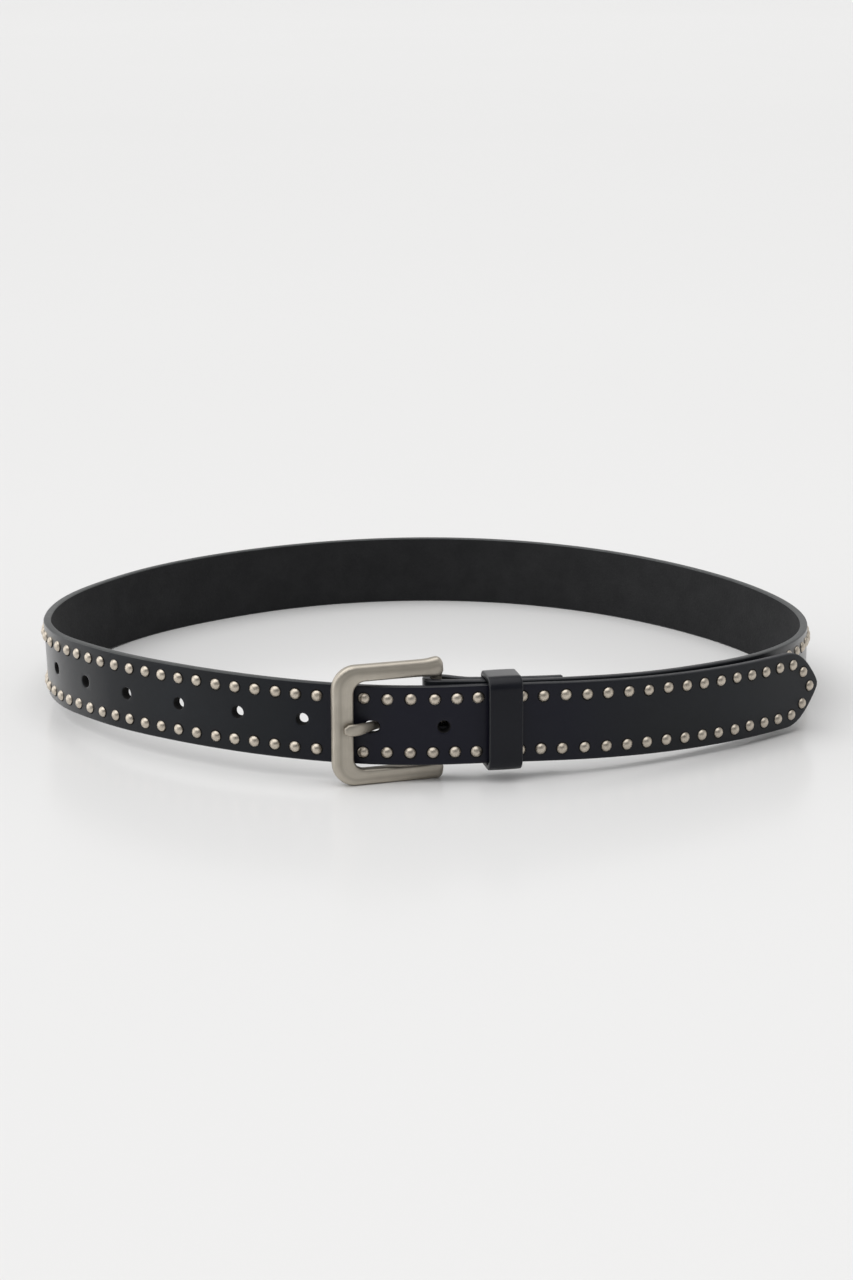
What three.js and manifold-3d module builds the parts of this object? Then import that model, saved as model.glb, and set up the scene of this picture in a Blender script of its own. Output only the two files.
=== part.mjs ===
// Studded leather belt, buckled into a loop and standing on its edge.
// Millimetres, +Z up. +X is to the wearer's-left end of the loop as seen from the buckle side,
// -Y is the buckle side. The origin is under the middle of the whole object, on the resting plane.
import * as THREE from 'three';
import { mergeVertices } from 'three/addons/utils/BufferGeometryUtils.js';
import Module from 'manifold-3d';

const wasm = await Module();
wasm.setup();

// ---------------------------------------------------------------- driving dimensions
const STRAP_WIDTH = 30;
const STRAP_THICK = 3;
const EDGE_BEVEL = 0.4;          // rounded, painted edge, as a small chamfer
const STATION_STEP = 8.3;        // spacing of the strap's sections
const PLY_GAP = 0.35;            // air between two layers of strap at the buckle

const STUD_PITCH = 8.305;
const STUD_FIRST = 16.44;        // first pair of the straight rows, from the tip
const STUD_LAST = 1006;          // the rows stop where the two layers close up
const STUD_FROM_MIDDLE = 10.15;  // each row, from the strap's centre line
const STUD_RADIUS = 2.1;
const STUD_HEIGHT = 1.45;
const STUD_GAP = 0.15;
const STUD_SHIFT = [             // how far the hand-set studs stray from even spacing
  { along: 16.4, upper: -0.4, lower: -0.2 }, { along: 33, upper: -0.85, lower: -0.65 },
  { along: 49.7, upper: -1.35, lower: -1.2 }, { along: 66.3, upper: -1.5, lower: -1.4 },
  { along: 74.6, upper: -1.55, lower: -1.6 }, { along: 91.2, upper: -0.9, lower: -1.2 },
  { along: 107.8, upper: -0.1, lower: -0.6 }, { along: 124.4, upper: 0.6, lower: 0.7 },
  { along: 132.7, upper: 0.7, lower: 0.75 }, { along: 157.6, upper: -0.75, lower: -0.2 },
  { along: 165.9, upper: -1.45, lower: -0.7 }, { along: 174.2, upper: -1.6, lower: -0.85 },
  { along: 190.8, upper: -0.55, lower: -0.45 }, { along: 199.1, upper: -0.2, lower: 0 },
  { along: 215.8, upper: 0.9, lower: 0.7 }, { along: 224.1, upper: 0.9, lower: 0.6 },
  { along: 232.4, upper: 0.2, lower: 0.3 }, { along: 257.3, upper: -0.4, lower: -0.1 },
  { along: 273.9, upper: 0, lower: 0.6 }, { along: 290.5, upper: -0.2, lower: 0.8 },
  { along: 315.4, upper: -0.1, lower: 0.65 }, { along: 332, upper: -0.3, lower: 0.95 },
  { along: 340.3, upper: -0.8, lower: 0.95 }, { along: 357, upper: 0, lower: 0 },
];
const TIP_STUDS = [              // from the tip, and across from the centre line
  { along: 9.7, across: 6.35 },
  { along: 5.35, across: 0 },
  { along: 9.7, across: -6.35 },
];

const HOLE_DIAMETER = 4.0;
const HOLES = [                  // from the tip, and across from the centre line
  { along: 169, across: -0.4 },
  { along: 195.9, across: -0.5, length: 5.9, height: 4.5 },   // the prong stands in this one
  { along: 221.8, across: 0.6 },
  { along: 247.4, across: 0.4 },
  { along: 273.8, across: 0 },
  { along: 300.6, across: -0.2 },
  { along: 326.6, across: -0.1 },
  { along: 351.6, across: 0.4 },
];

const BAR_RADIUS = 2.0;          // rear bar of the buckle
const FOLD_RADIUS = BAR_RADIUS + 0.3 + STRAP_THICK / 2;
const RETURN_LENGTH = 47;
const RETURN_CLOSE = 13;        // length over which the return closes onto the outer layer
const SLOT_HEIGHT = 4.2;         // slot in the fold, for the prong's curl
const SLOT_REACH = 4.9;          // on both sides, past the rear bar's middle

const FRAME_HEIGHT = 45.6;
const FRAME_THICK = 4.8;
const FRONT_BAR = 8;
const ARM_HEIGHT = 6.2;
const ARM_PAST_BAR = 2.3;
const FRAME_CORNER = 9.0;
const WINDOW_CORNER = 4.5;
const FRAME_BEVEL = 1.2;
const FRONT_BAR_AT = { x: -29.7, y: -148.3 };

const TO_MIDDLE = { x: -1.38, y: 0.1 };  // brings the origin under the middle of the whole

const PRONG_WIDTH = 3.4;
const PRONG_TIP_WIDTH = 4.5;
const PRONG_THICK = 1.9;

const KEEPER_X = 29.5;             // where the loop's middle sits, seen from the front
const KEEPER_WIDTH = 12.6;
const KEEPER_WALL = 2;
const KEEPER_Z = [4.5, 40.2];
const KEEPER_DEPTH = [-5.3, 10.75];
const KEEPER_FRONT_CORNER = 4.5;
const KEEPER_REAR_CORNER = 3.0;

const RIVET_RADIUS = 1.5;
const RIVET_HOLE = 1.85;
const RIVET_HEAD = { radius: 2.6, height: 0.9 };
const RIVETS = [                 // along the return, from the rear bar
  { name: 'return_rivet_near_bar', along: 34.4 },
  { name: 'return_rivet_near_end', along: 42.2 },
];

// The strap's middle line seen from above, from the tip round the loop to the rear bar.
// lift is how high its lower edge stands above the resting plane, lean how far its upper
// edge stands further out than its lower one.
const ROUTE = [
  { x: 154.1, y: -67.2, lift: 2.4, lean: 0 },   // tip
  { x: 126.3, y: -93.5, lift: 2.9, lean: 0 },
  { x: 93.5, y: -116.3, lift: 4, lean: 0 },
  { x: 57.3, y: -133.2, lift: 5.8, lean: 0 },
  { x: 28.4, y: -141.2, lift: 7.1, lean: 0 },   // in the keeper
  { x: -3.4, y: -144.4, lift: 7.1, lean: 0 },   // over the rear bar
  { x: -36.1, y: -141, lift: 7.6, lean: 0 },   // behind the front bar
  { x: -69.2, y: -129.7, lift: 8.3, lean: 0 },
  { x: -96.3, y: -112.9, lift: 8.2, lean: 0.2 },
  { x: -117.3, y: -95.4, lift: 7.9, lean: 0.6 },
  { x: -132.3, y: -78, lift: 7.4, lean: 1.1 },
  { x: -143.1, y: -61.7, lift: 7, lean: 1.6 },
  { x: -149.4, y: -45.4, lift: 7.1, lean: 1.4 },
  { x: -151.8, y: -27.9, lift: 6, lean: 1.1 },   // left limb
  { x: -152.5, y: -8.7, lift: 4.4, lean: 1.1 },
  { x: -151.2, y: 12.3, lift: 2.9, lean: 1.2 },
  { x: -146.8, y: 35.1, lift: 1.5, lean: 1.4 },
  { x: -137.8, y: 59.8, lift: 0.3, lean: 1.7 },
  { x: -121.5, y: 86, lift: 0, lean: 1.9 },
  { x: -95.3, y: 112.1, lift: 0, lean: 1.6 },
  { x: -58.6, y: 135.6, lift: 0, lean: 0 },
  { x: -11.4, y: 148.7, lift: 0, lean: 0 },   // middle of the back
  { x: 37.3, y: 143.8, lift: 0, lean: 0 },
  { x: 81, y: 121.6, lift: 0, lean: 0 },
  { x: 116.3, y: 87.4, lift: 0, lean: 0 },
  { x: 142.3, y: 45.8, lift: 0, lean: 0 },
  { x: 154.1, y: 8.3, lift: 0.3, lean: 0 },
  { x: 154.8, y: -26.1, lift: 1.2, lean: 0 },   // right limb
  { x: 146.4, y: -56.3, lift: 2.2, lean: 0 },
  { x: 124.8, y: -85.9, lift: 3, lean: 0 },   // behind the pointed end from here on
  { x: 106.2, y: -102, lift: 3.9, lean: 0 },
  { x: 83.2, y: -117.2, lift: 4.95, lean: 0 },
  { x: 57.9, y: -129.1, lift: 6.35, lean: 0 },
  { x: 30.5, y: -137.3, lift: 7.6, lean: 0 },
  { x: 5.3, y: -140.8, lift: 8.4, lean: 0 },   // start of the fold
];

// Half width of the pointed end, against the distance from the tip.
const TIP = [
  { from: 0, half: 0.7 }, { from: 0.35, half: 1.6 }, { from: 1.1, half: 2.9 },
  { from: 2.6, half: 4.9 }, { from: 4.3, half: 6.9 }, { from: 6.0, half: 8.8 },
  { from: 7.7, half: 10.4 }, { from: 9.6, half: 11.9 }, { from: 11.6, half: 13.15 },
  { from: 14.2, half: 14.25 }, { from: 17.2, half: 14.85 }, { from: 20.5, half: 15 },
];

// The prong's middle line in the buckle's own frame: along from the front bar's middle
// towards the rear bar, in towards the waist, half its width and the height of its middle.
const PRONG = [
  { along: 0.45, inward: -3.7, half: 1.45, level: 22.0 },
  { along: 1.05, inward: -3.75, half: 2.0, level: 22.0 },
  { along: 2.05, inward: -3.85, half: PRONG_TIP_WIDTH / 2, level: 22.05 },
  { along: 3.55, inward: -3.85, half: PRONG_TIP_WIDTH / 2, level: 22.05 },
  { along: 5.35, inward: -3.3, half: 2.2, level: 21.97 },
  { along: 7.25, inward: -2.25, half: 2.1, level: 21.9 },
  { along: 9.55, inward: -0.65, half: 1.85, level: 21.85 },
  { along: 11.89, inward: 1.05, half: 1.75, level: 21.75 },
  { along: 14.45, inward: 2.6, half: 1.75, level: 21.7 },
  { along: 18.75, inward: 3.1, half: PRONG_WIDTH / 2, level: 21.6 },
  { along: 25.25, inward: 0.95, half: PRONG_WIDTH / 2, level: 22.6 },
  { along: 31.25, inward: -1.75, half: PRONG_WIDTH / 2, level: 23.35 },
];

const LEATHER = new THREE.MeshStandardMaterial({ color: 0x1d1f26, roughness: 0.5, metalness: 0 });
const NICKEL = new THREE.MeshStandardMaterial({ color: 0xa59e91, roughness: 0.38, metalness: 1 });

// ---------------------------------------------------------------- helpers
const V = (x, y, z) => new THREE.Vector3(x, y, z);

// Natural cubic spline through named columns, against the distance between rows.
function splineThrough(rows, keys) {
  const at = [0];
  for (let i = 1; i < rows.length; i++) {
    at.push(at[i - 1] + Math.hypot(rows[i].x - rows[i - 1].x, rows[i].y - rows[i - 1].y));
  }
  const n = rows.length;
  const bend = {};
  for (const key of keys) {
    const c = new Array(n).fill(0), d = new Array(n).fill(0), m = new Array(n).fill(0);
    for (let i = 1; i < n - 1; i++) {
      const a = at[i] - at[i - 1], b = at[i + 1] - at[i];
      const right = 6 * ((rows[i + 1][key] - rows[i][key]) / b - (rows[i][key] - rows[i - 1][key]) / a);
      const w = 2 * (a + b) - a * c[i - 1];
      c[i] = b / w;
      d[i] = (right - a * d[i - 1]) / w;
    }
    for (let i = n - 2; i > 0; i--) m[i] = d[i] - c[i] * m[i + 1];
    bend[key] = m;
  }
  return {
    length: at[n - 1],
    value(u, key) {
      let i = 0;
      while (i < n - 2 && u > at[i + 1]) i++;
      const h = at[i + 1] - at[i], a = (at[i + 1] - u) / h, b = (u - at[i]) / h, m = bend[key];
      return a * rows[i][key] + b * rows[i + 1][key]
        + ((a ** 3 - a) * m[i] + (b ** 3 - b) * m[i + 1]) * h * h / 6;
    },
  };
}

function tableValue(rows, at, from, to) {
  if (at <= rows[0][from]) return rows[0][to];
  for (let i = 1; i < rows.length; i++) {
    if (at <= rows[i][from]) {
      const f = (at - rows[i - 1][from]) / (rows[i][from] - rows[i - 1][from]);
      return rows[i - 1][to] + f * (rows[i][to] - rows[i - 1][to]);
    }
  }
  return rows[rows.length - 1][to];
}

const smooth = (f) => { const g = Math.min(1, Math.max(0, f)); return g * g * (3 - 2 * g); };

// A closed skin over rings of equal count, with flat ends.
function skin(rings) {
  const count = rings[0].length;
  const position = [];
  for (const ring of rings) for (const p of ring) position.push(p.x, p.y, p.z);
  const index = [];
  for (let r = 0; r < rings.length - 1; r++) {
    for (let i = 0; i < count; i++) {
      const a = r * count + i, b = r * count + (i + 1) % count;
      index.push(a, b, b + count, a, b + count, a + count);
    }
  }
  const last = (rings.length - 1) * count;
  for (let i = 1; i < count - 1; i++) {
    index.push(0, i + 1, i);
    index.push(last, last + i, last + i + 1);
  }
  const geometry = new THREE.BufferGeometry();
  geometry.setAttribute('position', new THREE.Float32BufferAttribute(position, 3));
  geometry.setIndex(index);
  let volume = 0;
  for (let i = 0; i < index.length; i += 3) {
    const [a, b, c] = [0, 1, 2].map((k) => V().fromArray(position, 3 * index[i + k]));
    volume += a.dot(b.cross(c));
  }
  if (volume < 0) {
    for (let i = 0; i < index.length; i += 3) [index[i], index[i + 1]] = [index[i + 1], index[i]];
    geometry.setIndex(index);
  }
  return geometry;
}

function merged(geometry) {
  const g = geometry.index ? geometry.clone() : geometry;
  for (const name of Object.keys(g.attributes)) if (name !== 'position') g.deleteAttribute(name);
  return mergeVertices(g, 1e-4);
}

function toSolid(geometry) {
  const g = merged(geometry);
  return new wasm.Manifold(new wasm.Mesh({
    numProp: 3,
    vertProperties: new Float32Array(g.attributes.position.array),
    triVerts: new Uint32Array(g.index.array),
  }));
}

function toGeometry(solid) {
  const mesh = solid.getMesh();
  const geometry = new THREE.BufferGeometry();
  geometry.setAttribute('position', new THREE.Float32BufferAttribute(mesh.vertProperties, 3));
  geometry.setIndex(Array.from(mesh.triVerts));
  return geometry;
}

function asMesh(name, geometry, material) {
  const g = merged(geometry);
  g.computeVertexNormals();
  const mesh = new THREE.Mesh(g, material);
  mesh.name = name;
  return mesh;
}

// ---------------------------------------------------------------- the strap's route
const route = splineThrough(ROUTE, ['x', 'y', 'lift', 'lean']);
const lookup = [];
{
  const steps = 4000;
  let run = 0, before = null;
  for (let i = 0; i <= steps; i++) {
    const u = route.length * i / steps;
    const p = [route.value(u, 'x'), route.value(u, 'y')];
    if (before) run += Math.hypot(p[0] - before[0], p[1] - before[1]);
    lookup.push({ run, u });
    before = p;
  }
}
const LOOP_LENGTH = lookup[lookup.length - 1].run;
const FOLD_LENGTH = Math.PI * FOLD_RADIUS;
const STRAP_LENGTH = LOOP_LENGTH + FOLD_LENGTH + RETURN_LENGTH;

function loopPlace(s) {
  const u = tableValue(lookup, s, 'run', 'u');
  const d = 0.5, lo = Math.max(0, u - d), hi = Math.min(route.length, u + d);
  const x = route.value(u, 'x'), y = route.value(u, 'y');
  const tx = route.value(hi, 'x') - route.value(lo, 'x');
  const ty = route.value(hi, 'y') - route.value(lo, 'y');
  const l = Math.hypot(tx, ty);
  const lift = Math.max(0, route.value(u, 'lift'));
  const rise = (Math.max(0, route.value(hi, 'lift')) - Math.max(0, route.value(lo, 'lift'))) / l;
  return { x, y, lift, rise, lean: route.value(u, 'lean'), along: [tx / l, ty / l], out: [-ty / l, tx / l] };
}

const foldStart = loopPlace(LOOP_LENGTH);
const BAR = {
  x: foldStart.x - foldStart.out[0] * FOLD_RADIUS,
  y: foldStart.y - foldStart.out[1] * FOLD_RADIUS,
};

// Place, direction and outward side of the strap's middle line, s mm from the tip.
function place(s) {
  if (s <= LOOP_LENGTH) return loopPlace(s);
  if (s <= LOOP_LENGTH + FOLD_LENGTH) {
    const turn = -(s - LOOP_LENGTH) / FOLD_RADIUS;
    const c = Math.cos(turn), k = Math.sin(turn);
    const [ox, oy] = foldStart.out, [ax, ay] = foldStart.along;
    const out = [c * ox - k * oy, k * ox + c * oy];
    return {
      x: BAR.x + out[0] * FOLD_RADIUS, y: BAR.y + out[1] * FOLD_RADIUS,
      lift: foldStart.lift, rise: 0, lean: 0, along: [c * ax - k * ay, k * ax + c * ay], out,
    };
  }
  const back = s - LOOP_LENGTH - FOLD_LENGTH;
  const from = (b) => {
    const p = loopPlace(LOOP_LENGTH - b);
    const close = STRAP_THICK + PLY_GAP;
    const away = close + (2 * FOLD_RADIUS - close) * (1 - smooth(b / RETURN_CLOSE));
    return { x: p.x - p.out[0] * away, y: p.y - p.out[1] * away, lift: p.lift, rise: -p.rise, lean: 0 };
  };
  const p = from(back), a = from(Math.max(0, back - 0.3)), b = from(back + 0.3);
  const tx = b.x - a.x, ty = b.y - a.y, l = Math.hypot(tx, ty);
  return { ...p, along: [tx / l, ty / l], out: [-ty / l, tx / l] };
}

// A point of the strap: s along it, t up across it, o out from its middle line.
function onStrap(s, t, o) {
  const p = place(s);
  const k = 1 / Math.hypot(1, p.rise);
  const w = o + p.lean * (t / STRAP_WIDTH - 0.5);
  return V(
    p.x + p.out[0] * w - p.along[0] * p.rise * k * t,
    p.y + p.out[1] * w - p.along[1] * p.rise * k * t,
    p.lift + k * t,
  );
}

// ---------------------------------------------------------------- strap
function strapRing(s) {
  const half = s < TIP[TIP.length - 1].from ? tableValue(TIP, s, 'from', 'half') : STRAP_WIDTH / 2;
  const h = STRAP_THICK / 2, b = EDGE_BEVEL, m = STRAP_WIDTH / 2;
  const lo = m - half, hi = m + half;
  return [[-h + b, lo], [h - b, lo], [h, lo + b], [h, hi - b], [h - b, hi], [-h + b, hi], [-h, hi - b], [-h, lo + b]]
    .map(([o, t]) => onStrap(s, t, o));
}

const SPLIT = LOOP_LENGTH - 120;
const frontStations = TIP.map((row) => row.from);
{
  const first = frontStations[frontStations.length - 1];
  const n = Math.round((SPLIT - first) / STATION_STEP);
  for (let i = 1; i <= n; i++) frontStations.push(first + (SPLIT - first) * i / n);
}
const rearStations = [];
{
  const n = Math.round(120 / STATION_STEP);
  for (let i = 0; i <= n; i++) rearStations.push(SPLIT + 120 * i / n);
  for (let i = 1; i <= 9; i++) rearStations.push(LOOP_LENGTH + FOLD_LENGTH * i / 9);
  for (const b of [3, 6, 9, 12, 15, 18, 24, 31, 39, RETURN_LENGTH]) {
    rearStations.push(LOOP_LENGTH + FOLD_LENGTH + b);
  }
}

// A prism across the strap at s, for a punched hole; round or long.
function punch(s, across, length, height, reach, sides = 12) {
  const p = place(s), middle = onStrap(s, STRAP_WIDTH / 2 + across, 0);
  const rings = [-reach[0], reach[1]].map((o) => {
    const ring = [];
    for (let i = 0; i < sides; i++) {
      const a = 2 * Math.PI * (i + 0.5) / sides;
      const along = Math.cos(a) * height / 2 + Math.sign(Math.cos(a)) * (length - height) / 2;
      const up = Math.sin(a) * height / 2;
      ring.push(V(middle.x + p.along[0] * along + p.out[0] * o,
        middle.y + p.along[1] * along + p.out[1] * o, middle.z + up));
    }
    return ring;
  });
  return toSolid(skin(rings));
}

let front = toSolid(skin(frontStations.map(strapRing)));
for (const hole of HOLES) {
  front = front.subtract(punch(hole.along, hole.across, hole.length || HOLE_DIAMETER,
    hole.height || HOLE_DIAMETER, [2.2, 2.2]));
}

let rear = toSolid(skin(rearStations.map(strapRing)));
{
  // slot through both sides of the fold, and open at its rounded end
  const end = FOLD_RADIUS + STRAP_THICK;
  const slot = new THREE.BoxGeometry(end + SLOT_REACH, 2 * FOLD_RADIUS + STRAP_THICK + 3, SLOT_HEIGHT);
  const turn = Math.atan2(foldStart.along[1], foldStart.along[0]);
  slot.translate((end - SLOT_REACH) / 2, 0, 0);
  slot.rotateZ(turn);
  slot.translate(BAR.x, BAR.y, foldStart.lift + STRAP_WIDTH / 2);
  rear = rear.subtract(toSolid(slot));
  for (const rivet of RIVETS) {
    rear = rear.subtract(punch(LOOP_LENGTH - rivet.along, 0, 2 * RIVET_HOLE, 2 * RIVET_HOLE, [12, 2.2]));
  }
}
const strapSolid = front.add(rear);

// ---------------------------------------------------------------- studs
// Each stud is a low dome; a thin web along the row joins it to the next.
const STUD_SHAPE = [
  { at: -STUD_RADIUS, half: 0.45, high: 0.3, top: 0.7 },
  { at: -0.42 * STUD_RADIUS, half: 0.97 * STUD_RADIUS, high: STUD_HEIGHT, top: 0.45 },
  { at: 0.42 * STUD_RADIUS, half: 0.97 * STUD_RADIUS, high: STUD_HEIGHT, top: 0.45 },
  { at: STUD_RADIUS, half: 0.45, high: 0.3, top: 0.7 },
];

function studRow(studs) {
  const rings = [];
  const m = STRAP_WIDTH / 2;
  studs.forEach((stud, i) => {
    const a = studs[Math.max(0, i - 1)], b = studs[Math.min(studs.length - 1, i + 1)];
    const ds = b.along - a.along, dt = b.across - a.across, l = Math.hypot(ds, dt);
    const d = [ds / l, dt / l], side = [-dt / l, ds / l];
    for (const row of STUD_SHAPE) {
      const point = (w, o) => onStrap(stud.along + d[0] * row.at + side[0] * w,
        m + stud.across + d[1] * row.at + side[1] * w, STRAP_THICK / 2 + STUD_GAP + o);
      rings.push([point(-row.half, 0), point(row.half, 0),
        point(row.half * row.top, row.high), point(-row.half * row.top, row.high)]);
    }
  });
  return skin(rings);
}

const rowPlaces = [];
for (let s = STUD_FIRST; s < STUD_LAST; s += STUD_PITCH) rowPlaces.push(s);
const studsBetween = (from, to, across) => rowPlaces.filter((s) => s >= from && s < to)
  .map((s) => ({ along: s + tableValue(STUD_SHIFT, s, 'along', across > 0 ? 'upper' : 'lower'), across }));

const UP = STUD_FROM_MIDDLE, FRONT_BAR_STATION = 203, LEFT_END = 455, BACK_END = 790;
const STUD_NODES = {
  studs_pointed_end: [
    ...studsBetween(0, FRONT_BAR_STATION, UP).reverse(),
    ...TIP_STUDS,
    ...studsBetween(0, FRONT_BAR_STATION, -UP),
  ],
  studs_left_upper: studsBetween(FRONT_BAR_STATION, LEFT_END, UP),
  studs_left_lower: studsBetween(FRONT_BAR_STATION, LEFT_END, -UP),
  studs_back_upper: studsBetween(LEFT_END, BACK_END, UP),
  studs_back_lower: studsBetween(LEFT_END, BACK_END, -UP),
  studs_right_upper: studsBetween(BACK_END, STUD_LAST, UP),
  studs_right_lower: studsBetween(BACK_END, STUD_LAST, -UP),
};

// ---------------------------------------------------------------- buckle
const BUCKLE_LENGTH = Math.hypot(BAR.x - FRONT_BAR_AT.x, BAR.y - FRONT_BAR_AT.y);
const BUCKLE_TURN = Math.atan2(BAR.y - FRONT_BAR_AT.y, BAR.x - FRONT_BAR_AT.x);

function frameGeometry() {
  const left = -FRONT_BAR / 2, right = BUCKLE_LENGTH + ARM_PAST_BAR, inner = FRONT_BAR / 2;
  const R = FRAME_CORNER, r = WINDOW_CORNER, e = 2.2, H = FRAME_HEIGHT, A = ARM_HEIGHT;
  const shape = new THREE.Shape();
  shape.moveTo(left + R, 0);
  shape.lineTo(right - e, 0);
  shape.quadraticCurveTo(right, 0, right, e);
  shape.lineTo(right, A - e);
  shape.quadraticCurveTo(right, A, right - e, A);
  shape.lineTo(inner + r, A);
  shape.quadraticCurveTo(inner, A, inner, A + r);
  shape.lineTo(inner, H - A - r);
  shape.quadraticCurveTo(inner, H - A, inner + r, H - A);
  shape.lineTo(right - e, H - A);
  shape.quadraticCurveTo(right, H - A, right, H - A + e);
  shape.lineTo(right, H - e);
  shape.quadraticCurveTo(right, H, right - e, H);
  shape.lineTo(left + R, H);
  shape.absarc(left + R, H - R, R, Math.PI / 2, Math.PI, false);
  shape.lineTo(left, R);
  shape.absarc(left + R, R, R, Math.PI, 1.5 * Math.PI, false);
  const cast = new THREE.ExtrudeGeometry(shape, {
    depth: FRAME_THICK - 2 * FRAME_BEVEL, curveSegments: 5, bevelEnabled: true,
    bevelThickness: FRAME_BEVEL, bevelSize: FRAME_BEVEL, bevelOffset: -FRAME_BEVEL, bevelSegments: 2,
  });
  cast.translate(0, 0, -(FRAME_THICK / 2 - FRAME_BEVEL));
  cast.rotateX(Math.PI / 2);
  const bar = new THREE.CylinderGeometry(BAR_RADIUS, BAR_RADIUS, FRAME_HEIGHT - ARM_HEIGHT, 12);
  bar.rotateX(Math.PI / 2);
  bar.translate(BUCKLE_LENGTH, 0, FRAME_HEIGHT / 2);
  return toGeometry(toSolid(cast).add(toSolid(bar)));
}

function prongGeometry() {
  const line = PRONG.map((row) => ({ ...row }));
  const R = BAR_RADIUS + 0.35 + PRONG_THICK / 2;
  for (let a = -90; a <= 160; a += 25) {
    const q = a * Math.PI / 180;
    line.push({
      along: BUCKLE_LENGTH + R * Math.cos(q), inward: R * Math.sin(q), half: PRONG_WIDTH / 2,
      level: foldStart.lift + STRAP_WIDTH / 2,
    });
  }
  const rings = line.map((row, i) => {
    const a = line[Math.max(0, i - 1)], b = line[Math.min(line.length - 1, i + 1)];
    const dx = b.along - a.along, dy = b.inward - a.inward, l = Math.hypot(dx, dy);
    const side = [-dy / l, dx / l];
    const h = (i === 0 ? 0.55 : 1) * PRONG_THICK / 2, w = row.half, c = 0.45;
    return [[-h + c, -w], [h - c, -w], [h, -w + c], [h, w - c], [h - c, w], [-h + c, w], [-h, w - c], [-h, -w + c]]
      .map(([o, z]) => V(row.along + side[0] * o, row.inward + side[1] * o, row.level + z));
  });
  return skin(rings);
}

const buckle = new THREE.Group();
buckle.position.set(FRONT_BAR_AT.x, FRONT_BAR_AT.y, 0);
buckle.rotation.z = BUCKLE_TURN;
buckle.add(asMesh('buckle_frame', frameGeometry(), NICKEL));
buckle.add(asMesh('buckle_prong', prongGeometry(), NICKEL));

// ---------------------------------------------------------------- keeper loop
function keeperGeometry() {
  const band = (grow) => {
    const [v0, v1] = [KEEPER_DEPTH[0] + grow, KEEPER_DEPTH[1] - grow];
    const [z0, z1] = [KEEPER_Z[0] + grow, KEEPER_Z[1] - grow];
    const f = KEEPER_FRONT_CORNER - grow, r = KEEPER_REAR_CORNER - grow;
    const p = new THREE.Shape();
    p.moveTo(v0 + f, z0);
    p.lineTo(v1 - r, z0);
    p.absarc(v1 - r, z0 + r, r, -Math.PI / 2, 0, false);
    p.lineTo(v1, z1 - r);
    p.absarc(v1 - r, z1 - r, r, 0, Math.PI / 2, false);
    p.lineTo(v0 + f, z1);
    p.absarc(v0 + f, z1 - f, f, Math.PI / 2, Math.PI, false);
    p.lineTo(v0, z0 + f);
    p.absarc(v0 + f, z0 + f, f, Math.PI, 1.5 * Math.PI, false);
    return p;
  };
  const ring = band(0);
  ring.holes.push(band(KEEPER_WALL));
  const geometry = new THREE.ExtrudeGeometry(ring, { depth: KEEPER_WIDTH, curveSegments: 4, bevelEnabled: false });
  geometry.translate(0, 0, -KEEPER_WIDTH / 2);
  // shape x is inwards, shape y is up, its depth runs along the strap
  geometry.applyMatrix4(new THREE.Matrix4().makeBasis(V(0, 1, 0), V(0, 0, 1), V(1, 0, 0)));
  return geometry;
}

// where the outer layer passes the keeper
let keeperStation = 60;
while (loopPlace(keeperStation).x > KEEPER_X) keeperStation += 0.05;
const keeperPlace = place(keeperStation);
const keeper = asMesh('keeper_loop', keeperGeometry(), LEATHER);
keeper.position.set(keeperPlace.x, keeperPlace.y, 0);
keeper.rotation.z = Math.atan2(-keeperPlace.along[1], -keeperPlace.along[0]);

// ---------------------------------------------------------------- rivets of the return
function rivetMesh({ name, along }) {
  const p = place(LOOP_LENGTH - along);
  const middle = onStrap(LOOP_LENGTH - along, STRAP_WIDTH / 2, 0);
  const close = STRAP_THICK + PLY_GAP;
  const away = close + (2 * FOLD_RADIUS - close) * (1 - smooth(along / RETURN_CLOSE));
  const inner = away + STRAP_THICK / 2 + 0.3;
  const profile = [
    [0, -STRAP_THICK / 2 + 0.05], [RIVET_RADIUS, -STRAP_THICK / 2 + 0.05], [RIVET_RADIUS, inner],
    [RIVET_HEAD.radius, inner], [RIVET_HEAD.radius * 0.9, inner + RIVET_HEAD.height * 0.6],
    [RIVET_HEAD.radius * 0.55, inner + RIVET_HEAD.height], [0, inner + RIVET_HEAD.height],
  ].map(([r, h]) => new THREE.Vector2(r, h));
  const geometry = new THREE.LatheGeometry(profile, 12);
  const mesh = asMesh(name, geometry, NICKEL);
  mesh.position.copy(middle);
  mesh.quaternion.setFromUnitVectors(V(0, 1, 0), V(-p.out[0], -p.out[1], 0));
  return mesh;
}

// ---------------------------------------------------------------- assembly
const group = new THREE.Group();
group.position.set(TO_MIDDLE.x, TO_MIDDLE.y, 0);
group.add(asMesh('strap', toGeometry(strapSolid), LEATHER));
group.add(buckle);
group.add(keeper);
for (const rivet of RIVETS) group.add(rivetMesh(rivet));
for (const [name, studs] of Object.entries(STUD_NODES)) group.add(asMesh(name, studRow(studs), NICKEL));

export default group;
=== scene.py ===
import math
import random

import bmesh
import bpy
import numpy as np
from mathutils import Matrix, Vector


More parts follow.
